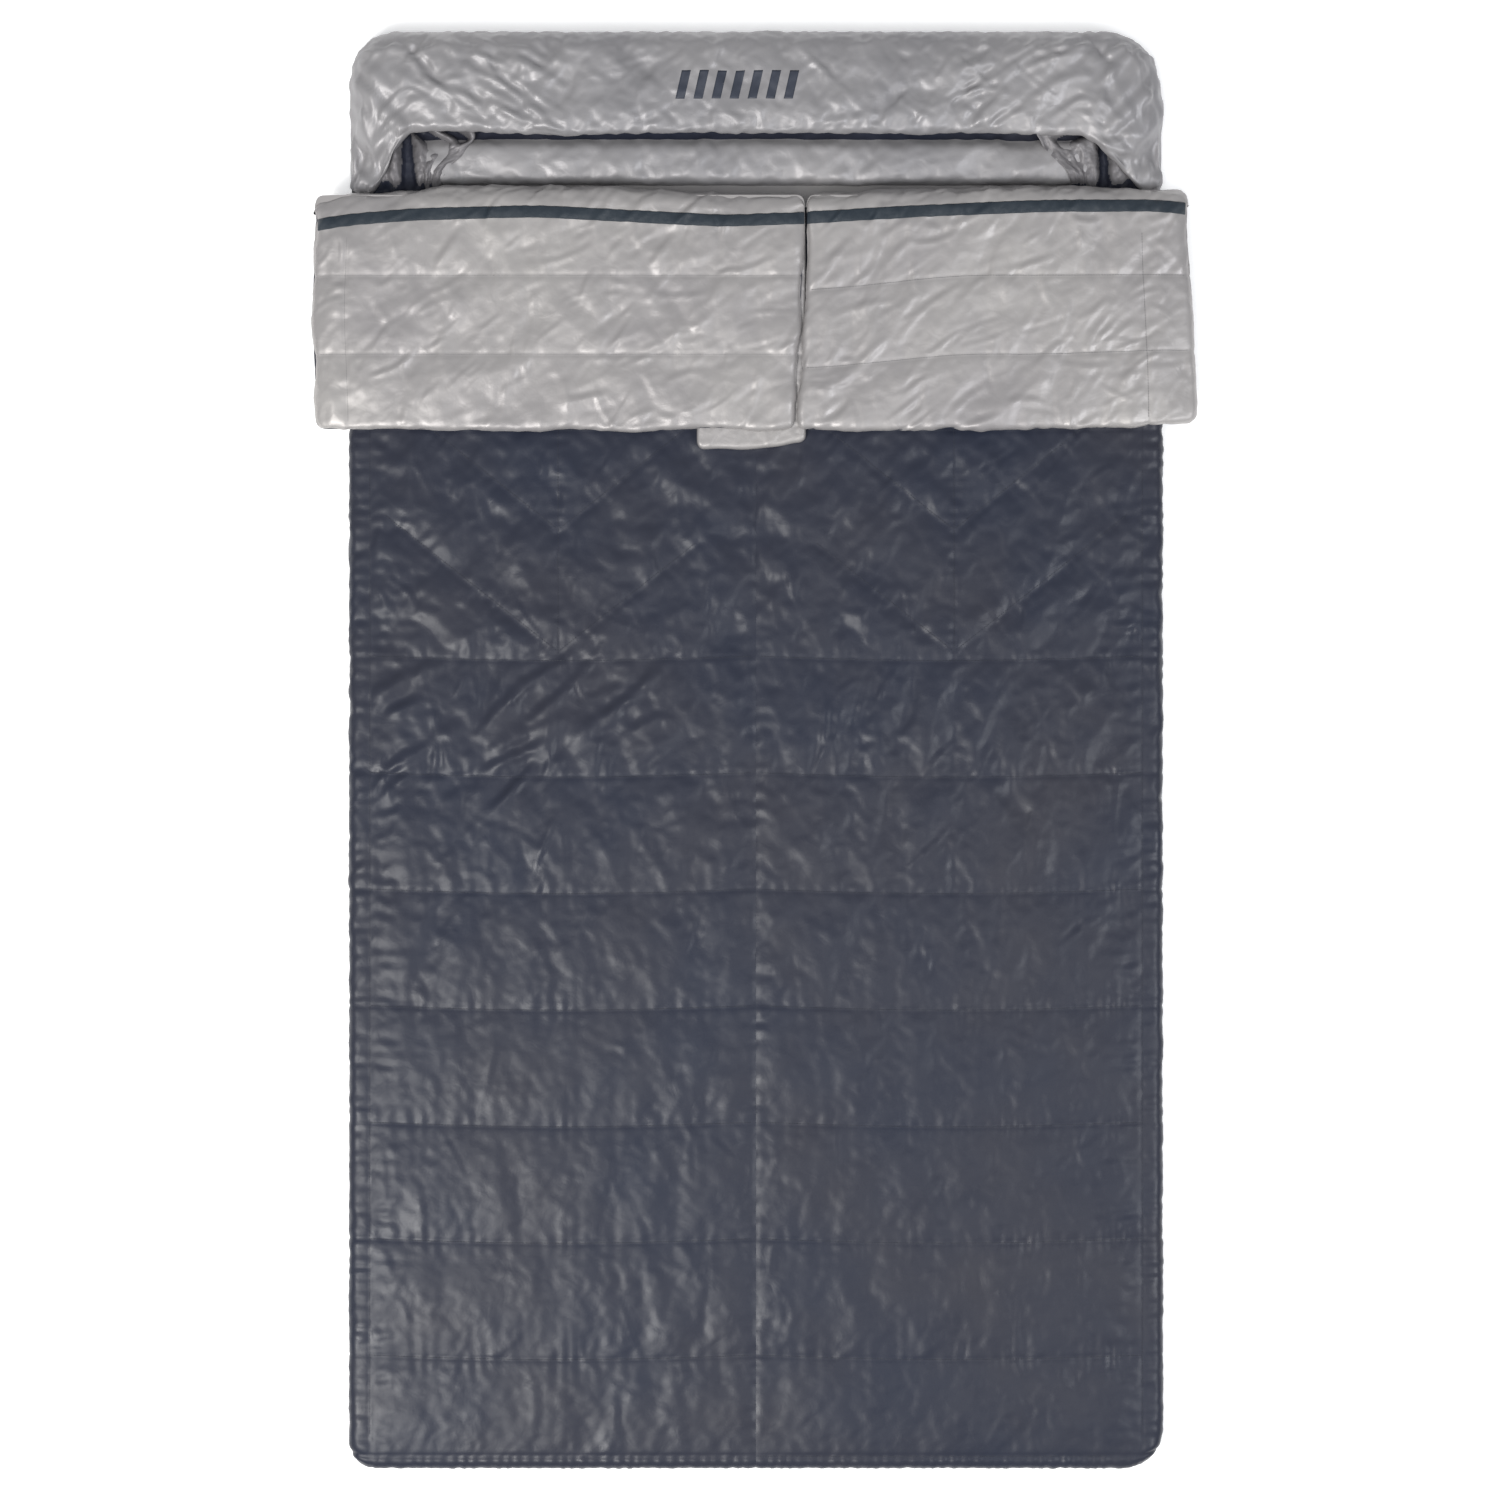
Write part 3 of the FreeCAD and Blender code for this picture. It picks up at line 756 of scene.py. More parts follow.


def head_pad():
    """The raised pad on the base that the pillow lies on, partly under the hood."""
    x0, x1, y0, y1 = PAD_AREA
    reach = edge_length(PAD_TURN, PAD_WALL)
    xs, ys = lines([x0 - reach, x1 + reach], PAD_CELL), lines([y0 - reach, y1 + reach], PAD_CELL)
    piece = cloth_piece("head_pad", xs, ys)
    s, t = pattern_of(piece)
    x, y, drop, _ = turned_down(s, t, PAD_AREA, (PAD_ROUND,) * 4, PAD_TURN, PAD_WALL)
    z = PAD_Z - drop + 0.004 * arch(inset(s, t, *PAD_AREA), 0.04)
    z -= PAD_DIP_DEPTH * smooth(*PAD_DIP, t) * (drop < 0.002)
    put(piece, x, y, z)
    gather(piece, np.where(rim_of(s, t), FULL_HOLD, 0.06), ease=0.035, cap=0.007, swell=0.5)
    return piece


def finish_head_pad(piece):
    refined(piece)
    s, t = pattern_of(piece)
    height = 0.0005 * crumple(s, t, 0.035, 61, 2.2, 0.1)
    area = (-0.55, 0.55, 0.88, 1.0)
    height += creases(s, t, 60, area, 0.1, 0.5, (0.03, 0.12), (0.003, 0.007), (0.0004, 0.0012), 62)
    raise_surface(piece, height)
    close_under(piece)
    finish_piece(piece, HOOD_CLOTH, "grey_lining", "head_pad_cover", "head_pad_fill")
    # The pad's faces in the gap under the hood's front edge take the dark slate cloth: painted shade.
    piece.data.materials.append(SLATE)
    _, t = pattern_of(piece)
    for face in piece.data.polygons:
        face.material_index = int(min(t[v] for v in face.vertices) > PAD_PAINTED_SHADE_Y)
    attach(piece, "bag")


# ---------------------------------------------------------------- the hood and its side gussets

HOOD_Z = 0.0805
HOOD_TURN = 0.034
HOOD_THICK = 0.022
HOOD_LIP = HOOD_THICK / 2
HOOD_WALL = HOOD_Z - HOOD_TURN - BASE_TOP - 0.0008
HOOD_REACH = edge_length(HOOD_TURN, HOOD_WALL)
LIP_Y = HOOD_FRONT_Y + HOOD_LIP
HOOD_INNER_START = LIP_Y - math.pi * HOOD_LIP
CORNER_REACH = 0.086         # how far the hood's two sides come forward past its front edge
CORNER_START = {-1: 0.535, 1: 0.500}     # where the front edge leaves the straight, on each side
CORNER_END = {-1: 0.596, 1: 0.604}
CORNER_FOLD = (0.636, 1.043)             # a point on the diagonal fold over each front corner
CORNER_FOLD_ACROSS = (0.6655, -0.7464)   # the direction across that fold, towards the corner


def shoulder(x, y):
    """How far a point lies beyond the diagonal fold at the hood's front corners, towards the corner."""
    dx, dy = np.abs(x) - CORNER_FOLD[0], y - CORNER_FOLD[1]
    return dx * CORNER_FOLD_ACROSS[0] + dy * CORNER_FOLD_ACROSS[1]


def hood():
    """The padded hood over the head end, one cloth that turns in at its front and lines the pocket."""
    inner = LIP_Y - math.pi * HOOD_LIP - (Y_HEAD + HOOD_REACH - LIP_Y)
    rows = np.concatenate([
        lines([inner, HOOD_INNER_START], 0.014)[:-1],
        lines([HOOD_INNER_START, LIP_Y], 0.0055)[:-1],
        lines([LIP_Y, Y_HEAD + HOOD_REACH], 0.0068),
    ])
    piece = cloth_piece("hood_cover", lines([-X_EDGE - HOOD_REACH, 0, X_EDGE + HOOD_REACH], 0.0072), rows)
    s, t = pattern_of(piece)
    turn = np.clip((LIP_Y - t) / HOOD_LIP, 0, math.pi)
    past = np.maximum(0, HOOD_INNER_START - t)
    laid = np.where(t > LIP_Y, t, LIP_Y + past)
    rect = (-X_EDGE, X_EDGE, 0, Y_HEAD)
    x, y, drop, normal = turned_down(s, laid, rect, BODY_ROUNDS, HOOD_TURN, HOOD_WALL)
    crown = 0.004 * arch(Y_HEAD - laid, 0.07) * arch(X_EDGE - np.abs(s), 0.12)
    wave = 0.0045 * hills(s, 0 * s, 0.19, 71) * (1 - smooth(LIP_Y, LIP_Y + 0.08, laid))
    beyond = shoulder(x, y)
    first = np.where(s > 0, CORNER_START[1], CORNER_START[-1])
    last = np.where(s > 0, CORNER_END[1], CORNER_END[-1])
    ahead = np.clip((np.abs(s) - first) / (last - first), 0, 1) ** 1.3
    ahead = ahead * (1 - smooth(LIP_Y, LIP_Y + 0.13, laid))
    slack = 0.0045 * crumple(x, y, 0.028, 70, 2.4, 1.35) + 0.0070 * hills(x + 0.3 * y, y * 0.4, 0.018, 69)
    sink = 0.020 * smooth(-0.004, 0.022, beyond) + 0.010 * ahead ** 2 - slack * smooth(0.0, 0.015, beyond)
    y = y + wave - HOOD_LIP * np.sin(turn) - CORNER_REACH * ahead
    place = np.stack([x, y, HOOD_Z + crown - drop - sink * normal[:, 2]], axis=1)
    place -= normal * (HOOD_LIP * (1 - np.cos(turn)))[:, None]
    set_coordinates(piece.data, place)
    hold = np.where(t > LIP_Y, 0.02, np.where(t > HOOD_INNER_START, 0.15, 0.3))
    outline = (t > Y_HEAD - 0.012) | ((np.abs(s) > X_EDGE - 0.012) & (t > LIP_Y + 0.08))
    hold = np.where(outline, 0.3, hold)
    hold = np.where(rim_of(s, t), FULL_HOLD, hold)
    gather(piece, hold, ease=0.07, cap=0.009, bending=0.08, swell=0.5)
    return piece


def fan(x, y, centre, count, near, far, height, seed):
    """Folds that run out from a point, between two distances from it."""
    dx, dy = x - centre[0], y - centre[1]
    away, turn = np.hypot(dx, dy), np.arctan2(dy, dx)
    bend = 0.8 * hills(x, y, 0.05, seed)
    ring = smooth(near * 0.5, near, away) * (1 - smooth(0.5 * far, far, away))
    return height * (1 - 2 * np.abs(np.sin(0.5 * count * turn + bend + seed))) * ring


def finish_hood(piece):
    """Crumpled facets over the hood's outer face, more at its two ends, and the folds of its corners."""
    refined(piece)
    s, t = pattern_of(piece)
    outer = smooth(LIP_Y - 0.01, LIP_Y, t)
    outline = np.maximum(smooth(Y_HEAD - 0.03, Y_HEAD, t), smooth(X_EDGE - 0.03, X_EDGE, np.abs(s)))
    outer = outer * (1 - 0.75 * outline)
    place = coordinates(piece.data)
    x, y, z = place.T
    height = outer * 0.0006 * crumple(s, t, 0.034, 73, 1.7, 0.5)
    height += outer * 0.0042 * facets(s, t, 0.055, 72, 0.45)
    area = (-0.66, 0.66, 0.95, 1.2)
    height += outer * creases(s, t, 150, area, 0.3, 0.7, (0.03, 0.11), (0.003, 0.007), (0.0006, 0.0022), 74)
    for side in SIDES:
        area = (*sorted((side * 0.32, side * 0.62)), 0.97, 1.11)
        ends = creases(s, t, 46, area, side * 0.55, 0.25, (0.06, 0.17), (0.004, 0.008),
                       (0.0012, 0.0030), 76 + side)
        height += outer * ends
        corner = (side * (X_EDGE - 0.050), 1.060)
        height += outer * fan(x, y, corner, 9, 0.02, 0.09, 0.0005, 75 + side)
        height += outer * fan(x, y, (side * 0.600, 0.950), 15, 0.03, 0.16, 0.0013, 78 + side)
        away, _ = from_seam(x, y, (side * 0.505, 1.118, side * 0.548, 1.070))
        height -= outer * 0.0035 * near(away, SEAM_GROOVE)
        away, _ = from_seam(x, y, (side * 0.632, 1.040, side * 0.552, 0.966))
        height += outer * (0.004 * near(away, 0.009) - 0.003 * near(away - 0.016, 0.006))
    low = 1 - smooth(0.030, 0.055, z)
    height += outer * low * pucker(0 * s, np.where(np.abs(x) > 0.58, y, x), 0.016, 1.0, 0.0006, 79)
    raise_surface(piece, height)
    close_under(piece)
    finish_piece(piece, HOOD_CLOTH, "grey_lining", "hood_shell", "hood_fill", "hood_lining")
    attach(piece, "bag")


GUSSET_CELL = 0.0032
GUSSET_X = (0.462, 0.625)
GUSSET_Y = (0.872, 0.985)
GUSSET_TURN = 0.008
GUSSET_WALL = 0.014
GUSSET_PAINTED_SHADE_Z = 0.038        # below this a gusset's faces take the dark slate cloth: painted shade in its deep folds
GUSSET_HOLLOWS = {           # each a line and its half width
    -1: (((0.542, 0.890, 0.548, 0.975), 0.0085), ((0.500, 0.944, 0.535, 0.975), 0.0085),
         ((0.478, 0.955, 0.512, 0.985), 0.006)),
    1: (((0.546, 0.890, 0.540, 0.972), 0.0070), ((0.490, 0.952, 0.530, 0.972), 0.006)),
}


def gusset(side):
    """The slack side piece in front of the hood, fallen into deep folds."""
    us = lines([GUSSET_X[0], GUSSET_X[1] + edge_length(GUSSET_TURN, GUSSET_WALL)], GUSSET_CELL)
    name = f"hood_gusset_{SIDES[side]}"
    piece = cloth_piece(name, us if side > 0 else -us[::-1], lines(GUSSET_Y, GUSSET_CELL))
    s, t = pattern_of(piece)
    u = np.abs(s)
    bend = GUSSET_X[1] - GUSSET_TURN
    over = np.maximum(0, u - bend)
    angle = np.minimum(over / GUSSET_TURN, math.pi / 2)
    x = np.minimum(u, bend) + GUSSET_TURN * np.sin(angle)
    drop = GUSSET_TURN * (1 - np.cos(angle)) + np.maximum(0, over - GUSSET_TURN * math.pi / 2)
    top = 0.047 + 0.006 * smooth(0.88, 0.97, t) - 0.014 * (1 - smooth(0.872, 0.900, t))
    top = top - 0.008 * smooth(0.565, 0.585, u)
    depth = np.zeros(len(s))
    for line, wide in GUSSET_HOLLOWS[side]:
        depth = np.maximum(depth, near(from_seam(u, t, line)[0], wide))
    ridge = 0.0050 * hills(u, t * 0.45, 0.016, 81 + side) + 0.0025 * crumple(u, t, 0.016, 83 + side, 2.5, 1.3)
    flat_end = 1 - smooth(GUSSET_X[1] + 0.002, GUSSET_X[1] + 0.01, u)
    z = top - drop - 0.030 * depth + ridge * (1 - 0.6 * depth) * flat_end
    slant = 0.030 - 0.055 * smooth(0.885, 0.965, t) + 0.006 * hills(t, 0 * t, 0.024, 89 + side)
    x = x + slant * (1 - smooth(GUSSET_X[0], GUSSET_X[0] + 0.07, u))
    put(piece, side * x, t, np.maximum(z, 0.0285))
    gather(piece, np.where(rim_of(s, t), FULL_HOLD, 0.12), ease=0.07, pressure=0.0, cap=0.005)
    return piece


def finish_gusset(piece, side):
    refined(piece)
    s, t = pattern_of(piece)
    raise_surface(piece, 0.0004 * crumple(s, t, 0.012, 86))
    place = coordinates(piece.data)
    place[:, 2] = np.maximum(place[:, 2], BASE_TOP + 0.0012)
    set_coordinates(piece.data, place)
    thickened(piece, 0.0006)
    finish_piece(piece, GUSSET_PAINTED_SHADE_CLOTH, "grey_lining", f"{SIDES[side]}_hood_gusset")
    # The low faces in the gusset's deep folds take the dark slate cloth: painted shade.
    piece.data.materials.append(SLATE)
    for face in piece.data.polygons:
        if face.center.z < GUSSET_PAINTED_SHADE_Z and abs(face.center.x) < X_EDGE - 0.012:
            face.material_index = 1
    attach(piece, "bag")


# ---------------------------------------------------------------- the flaps

FLAP_CELL = 0.0075
FLAP_Z = 0.0968
FLAP_MIDDLE = 0.0875
FLAP_UNDER = 0.0758
FLAP_ROUND = 0.018
FLAP_TURN = 0.008
FLAP_WALL = FLAP_Z - FLAP_TURN - FLAP_MIDDLE
ROLL_Z = 0.0708
ROLL_RADIUS = FLAP_Z - ROLL_Z
FLAP_ROWS = (0.613, 0.735)
FLAP_EDGE_SEAM = {-1: 0.632, 1: 0.608}
DROOP = 0.010
FOLD_STEP = 0.016            # the cloth inside the fold stands this far from the fold's axis
SHELL_TURN = 0.006
SHELL_WALL = FLAP_MIDDLE + 0.001 - SHELL_TURN - FLAP_UNDER
SHELL_INSET = 0.003
FOLD_EDGE = (
    (-0.685, -0.64, -0.46, -0.25, -0.12, 0.0, 0.08, 0.30, 0.50, 0.68),
    (-0.016, -0.006, 0.008, 0.008, -0.001, -0.010, -0.004, 0.005, 0.008, 0.0),
)
TAPE_LINE = (
    (-0.685, -0.64, -0.53, -0.34, -0.15, -0.05, 0.08, 0.25, 0.44, 0.64, 0.685),
    (0.812, 0.820, 0.829, 0.834, 0.824, 0.819, 0.824, 0.834, 0.842, 0.843, 0.838),
)
TAPE_HALF = 0.0095
TAPE_END_GAP = 0.005         # from a tape's outer end to its flap's edge
TAPE_SLIT_GAP = 0.0006


def fold_edge(x):
    """How far the fold stands out past its mean line, across the quilt."""
    return np.interp(x, *FOLD_EDGE)


def tape_line(x):
    """Where the middle of the tape lies, across the quilt."""
    return np.interp(x, *TAPE_LINE)


def soften(x, curve, reach=0.03):
    """A line given as a table of points, with its corners rounded."""
    return sum(curve(x + k * reach / 3) for k in range(-3, 4)) / 7


def flap_shift(side, x, t):
    """How a flap's own edges and rows wander from straight: (across, along)."""
    along = soften(x, fold_edge) * smooth(0.72, 0.85, t)
    along = along + 0.004 * hills(x, 0 * x, 0.13, 91 + side) * (1 - smooth(0.50, 0.60, t))
    if side > 0:
        bow = 0.022 * (1 - smooth(0.06, 0.36, x)) * smooth(0.54, 0.62, t) * (1 - smooth(0.74, 0.83, t))
        along = along - bow
        along = along + 0.010 * smooth(0.4, 0.69, x) * (1 - smooth(0.50, 0.80, t))
        across = -0.014 * smooth(0.50, 0.86, t) * smooth(0.40, 0.68, x)
        across = across - 0.0135 * (1 - smooth(0.49, 0.82, t)) * (1 - smooth(0.09, 0.30, x))
    else:
        across = -0.014 * (1 - smooth(0.49, 0.82, t)) * smooth(-0.15, 0.07, x)
        across = across - 0.006 * np.sin(np.pi * smooth(0.50, 0.86, t)) * smooth(0.45, 0.68, -x)
    return across, along


def drooped(x):
    """The flaps reach past the quilt's sides, and sag a little there."""
    return DROOP * smooth(0.622, 0.70, np.abs(x)) ** 1.5


def flap_face(side):
    """The flap's light lining: from its free edge over the flap, round the fold and down to the quilt."""
    x0, x1 = FLAP_SPAN[side]
    reach = edge_length(FLAP_TURN, FLAP_WALL)
    roll = math.pi * ROLL_RADIUS
    edge = side * FLAP_EDGE_SEAM[side]
    xs = lines(sorted([x0 - reach, edge, x1 + reach]), FLAP_CELL)
    ys = np.concatenate([
        lines([FLAP_FREE_Y - reach, *FLAP_ROWS, FOLD_Y, FOLD_Y + roll], FLAP_CELL)[:-1],
        lines([FOLD_Y + roll, FOLD_Y + roll + FLAP_MIDDLE - ROLL_Z + ROLL_RADIUS], 0.014),
    ])
    piece = cloth_piece(f"flap_lining_{SIDES[side]}", xs, ys)
    s, t = pattern_of(piece)
    laid = np.minimum(t, FOLD_Y)
    rect = (x0, x1, FLAP_FREE_Y, FOLD_Y + 1)
    x, y, drop, _ = turned_down(s, laid, rect, (FLAP_ROUND,) * 4, FLAP_TURN, FLAP_WALL)
    turn = np.clip((t - FOLD_Y) / ROLL_RADIUS, 0, math.pi)
    past = np.maximum(0, t - FOLD_Y - roll)
    full = FLAP_TURN + FLAP_WALL
    shrink = drop * (1 + (ROLL_RADIUS / full - 1) * smooth(0, 1.2, turn))
    puff = arch(nearest(t, [*FLAP_ROWS, FLAP_FREE_Y, FOLD_Y + 0.03]), 0.05)
    puff = puff * arch(np.minimum(s - x0, x1 - s), 0.03)
    radius = ROLL_RADIUS - shrink
    share = radius / ROLL_RADIUS
    y = np.where(t > FOLD_Y, FOLD_Y + radius * np.sin(turn) + FOLD_STEP * smooth(0, 0.012, past) * share, y)
    rolled = ROLL_Z + radius * np.cos(turn) + past * share + (FLAP_MIDDLE - ROLL_Z) * (1 - share)
    z = np.where(t > FOLD_Y, rolled, FLAP_Z - drop + 0.0018 * puff)
    across, along = flap_shift(side, x, np.minimum(t, FOLD_Y))
    along = np.where(t > FOLD_Y, along * np.sin(np.maximum(turn, 0.5 * np.pi)), along)
    put(piece, x + across, y + along, z - drooped(x))
    sewn = (nearest(t, FLAP_ROWS) < ON_SEAM) | (np.abs(s - edge) < ON_SEAM) | rim_of(s, t)
    sewn |= t > FOLD_Y + roll - ON_SEAM
    taped = np.abs(t - soften(s, tape_line)) < 0.013
    hold = np.where(sewn, FULL_HOLD, np.where(taped, 0.3, 0.008))
    gather(piece, hold, ease=0.065, pressure=0.35, cap=0.009, bending=0.10, swell=0.15)
    return piece


def finish_flap_face(piece, side):
    """Grooves and gathers along the flap's rows, its outer seam and its tape, and crisp folds between them."""
    refined(piece)
    s, t = pattern_of(piece)
    edge = side * FLAP_EDGE_SEAM[side]
    away_row, away_edge = nearest(t, FLAP_ROWS), np.abs(s - edge)
    tape_away = np.abs(t - soften(s, tape_line))
    top = 1 - smooth(FOLD_Y + 0.04, FOLD_Y + 0.06, t)
    height = -0.0010 * near(np.minimum(away_row, away_edge), SEAM_GROOVE)
    height += top * pucker(away_row, s, 0.030, 0.018, 0.0008, 93)
    height += top * pucker(np.maximum(0, tape_away - 0.011), s, 0.026, 0.022, 0.0013, 95 + side)
    height += top * pucker(away_edge, t, 0.032, 0.02, 0.0006, 97)
    free = np.abs(t - FLAP_FREE_Y)
    height += top * pucker(free, s, 0.034, 0.020, 0.0010, 99)
    x_range = (-0.68, 0.07) if side < 0 else (0.08, 0.68)
    area = (*x_range, FLAP_FREE_Y, FOLD_Y + 0.03)
    seed = 101 + side
    height += top * creases(s, t, 190, area, 0.85, 0.50, (0.03, 0.11), (0.0025, 0.006), (0.0006, 0.0021), seed)
    height += top * 0.0005 * crumple(s, t, 0.026, 103, 1.7, 0.8)
    rolling = smooth(0.0, 0.012, t - soften(s, tape_line) - 0.008) * top
    height += rolling * 0.0016 * crumple(s, t, 0.030, 106, 3.2, 0.25)
    height += top * 0.0085 * facets(s, t, 0.070, 104 + side, 0.95) * (1 - 0.6 * near(tape_away, 0.014))
    height -= top * 0.0012
    raise_surface(piece, height)
    x, y, z = coordinates(piece.data).T
    flat = (t < FOLD_Y) & (t > FLAP_FREE_Y)
    put(piece, x, y, np.where(flat, np.maximum(z, FLAP_MIDDLE + 0.0012 - drooped(x)), z))
    close_under(piece)
    word = SIDES[side]
    finish_piece(piece, LINING, "grey_lining", f"{word}_flap_lining", f"{word}_flap_fill", f"{word}_fold_roll")


def flap_under(side):
    """The flap's dark outer cloth, which faces down while the flap is folded back."""
    reach = edge_length(SHELL_TURN, SHELL_WALL)
    x0, x1 = FLAP_SPAN[side][0] + SHELL_INSET, FLAP_SPAN[side][1] - SHELL_INSET
    free = FLAP_FREE_Y + SHELL_INSET
    xs, ys = lines([x0 - reach, x1 + reach], 0.010), lines([free - reach, *FLAP_ROWS, FOLD_Y + 0.004], 0.010)
    piece = cloth_piece(f"flap_shell_{SIDES[side]}", xs, ys)
    s, t = pattern_of(piece)
    rect = (x0, x1, free, FOLD_Y + 1)
    x, y, rise, _ = turned_down(s, t, rect, (FLAP_ROUND,) * 4, SHELL_TURN, SHELL_WALL)
    low = np.minimum(nearest(t, FLAP_ROWS), 0.03) / 0.03
    pocket = smooth(-0.112, -0.097, x) if side < 0 else 0 * x
    bottom = FLAP_UNDER + 0.0015 * (1 - low) + (FLAP_MIDDLE - 0.0004 - FLAP_UNDER) * pocket
    z = bottom + rise * (FLAP_MIDDLE + 0.001 - bottom) / (SHELL_TURN + SHELL_WALL)
    z += (1 - pocket) * 0.0004 * crumple(s, t, 0.04, 105) * (rise < 1e-6) + 0.0004
    across, along = flap_shift(side, x, np.minimum(t, FOLD_Y))
    put(piece, x + across, y + along * (t < 0.8), z - drooped(x))
    refined(piece)
    close_under(piece)
    finish_piece(piece, SLATE, "slate_shell", f"{SIDES[side]}_flap_shell")
    return piece


def tree_of(*pieces):
    """A ray-casting tree over one or more finished pieces."""
    bm = bmesh.new()
    for piece in pieces:
        bm.from_mesh(piece.data)
    tree = BVHTree.FromBMesh(bm)
    bm.free()
    return tree


def top_of(tree, x, y, fallback):
    """Height and normal of the surface straight below a point."""
    place, normal, _, _ = tree.ray_cast(Vector((x, y, 0.3)), Vector((0, 0, -1)))
    return (fallback, Vector((0, 0, 1))) if place is None else (place.z, normal)


def flap_tape(side, tree):
    """The dark tape across a flap, laid on its lining and a little gathered."""
    word = SIDES[side]
    low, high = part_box(f"{word}_flap_tape")
    gaps = (TAPE_END_GAP, TAPE_SLIT_GAP) if side < 0 else (TAPE_SLIT_GAP, TAPE_END_GAP)
    start, end = low.x + gaps[0], high.x - gaps[1]
    xs, ys = lines([start, end], 0.0026), lines([-TAPE_HALF, TAPE_HALF], 0.0028)
    piece = cloth_piece(f"flap_tape_{word}", xs, ys)
    s, t = pattern_of(piece)
    middle = soften(s, tape_line)
    across, _ = flap_shift(side, s, 0 * s + FOLD_Y - 0.01)
    x, y = s + across, middle + t * (1 - 0.10 * np.abs(hills(s, 0 * s, 0.03, 107)))
    z = np.array([top_of(tree, a, b, FLAP_Z - FLAP_TURN - drooped(a))[0] for a, b in zip(x, y)])
    z = np.maximum(z, FLAP_Z - 0.004 - drooped(x) - 0.005 * smooth(0.60, 0.68, np.abs(x)))
    edge = np.abs(t) / TAPE_HALF
    gathers = pucker(0 * s, s, 0.021, 1.0, 0.0009, 109) * (0.5 + 0.5 * edge)
    put(piece, x, y, z + 0.0022 - 0.0010 * edge ** 2 + gathers)
    refined(piece)
    thickened(piece, 0.0010)
    finish_piece(piece, TAPE, "dark_tape", f"{word}_flap_tape")
    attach(piece, f"{word}_flap")


def underlap():
    """The strip that is sewn to the right flap and lies under the left one."""
    low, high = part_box("right_flap_underlap")
    turn = 0.0045
    level = high.z - 0.0006
    wall = level - turn - low.z - 0.0003
    reach = edge_length(turn, wall)
    head_end = high.y - 0.033        # clear of the left flap's fold when the right flap is lifted alone
    ys = lines([low.y - reach, head_end + reach], 0.006)
    piece = cloth_piece("flap_underlap", lines([low.x - reach, high.x + reach], 0.004), ys)
    s, t = pattern_of(piece)
    x, y, drop, _ = turned_down(s, t, (low.x, high.x, low.y, head_end), (0.012,) * 4, turn, wall)
    sag = 0.010 * smooth(0.0, 0.08, x) * (1 - smooth(low.y, low.y + 0.05, y))
    z = level - drop - 0.0006
    put(piece, x, y + sag + 0.003 * hills(x, 0 * x, 0.05, 113) * (t < 0.5), z)
    refined(piece)
    s, t = pattern_of(piece)
    inner = arch(inset(s, t, low.x, high.x, low.y, head_end), 0.01)
    height = 0.0006 * crumple(s, t, 0.022, 111, 1.6, 0.9) - 0.0016 * near(nearest(t, FLAP_ROWS), 0.006)
    area = (-0.09, 0.075, 0.47, 0.84)
    height += creases(s, t, 60, area, 0.7, 0.8, (0.02, 0.07), (0.002, 0.005), (0.0004, 0.0012), 115)
    height += pucker(np.minimum(s - low.x, high.x - s), t, 0.014, 0.012, 0.0009, 117)
    raise_surface(piece, np.minimum(inner * height, 0.0006))
    close_under(piece)
    finish_piece(piece, LINING, "grey_lining", "right_flap_underlap")
    piece.data.materials.append(SLATE)
    for face in piece.data.polygons:
        face.material_index = int(face.normal.z < -0.5)
    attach(piece, "right_flap")


# ---------------------------------------------------------------- print, stitches and zips

PRINT_BARS = 7
PRINT_BAR = 0.014
PRINT_SLANT = 0.010
PRINT_LIFT = 0.0003
PRINT_THICK = 0.00025


def hood_print(tree):
    """A plain row of slanted bars, printed on the hood."""
    low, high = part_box("hood_print")
    step = (high.x - low.x - PRINT_BAR - PRINT_SLANT) / (PRINT_BARS - 1)
    bm = bmesh.new()
    for number in range(PRINT_BARS):
        made = bmesh.ops.create_grid(bm, x_segments=5, y_segments=14, size=0.5)["verts"]
        for v in made:
            across, along = v.co.x + 0.5, v.co.y + 0.5
            x = low.x + number * step + across * PRINT_BAR + along * PRINT_SLANT
            y = low.y + along * (high.y - low.y)
            height, _ = top_of(tree, x, y, HOOD_Z)
            v.co = (x, y, height + PRINT_LIFT)
    keep_pattern(bm)
    bmesh.ops.recalc_face_normals(bm, faces=bm.faces)
    if sum(face.normal.z for face in bm.faces) < 0:
        bmesh.ops.reverse_faces(bm, faces=bm.faces)
    bmesh.ops.solidify(bm, geom=bm.faces[:], thickness=PRINT_THICK)
    piece = made_piece("hood_mark", bm)
    finish_piece(piece, INK, "print_ink", "hood_print")
    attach(piece, "bag")


STITCH_LONG = 0.0030
STITCH_STEP = 0.0042
STITCH_THICK = 0.00042
STITCH_CLIMB = 0.003         # no stitch where the cloth rises or falls more than this along it


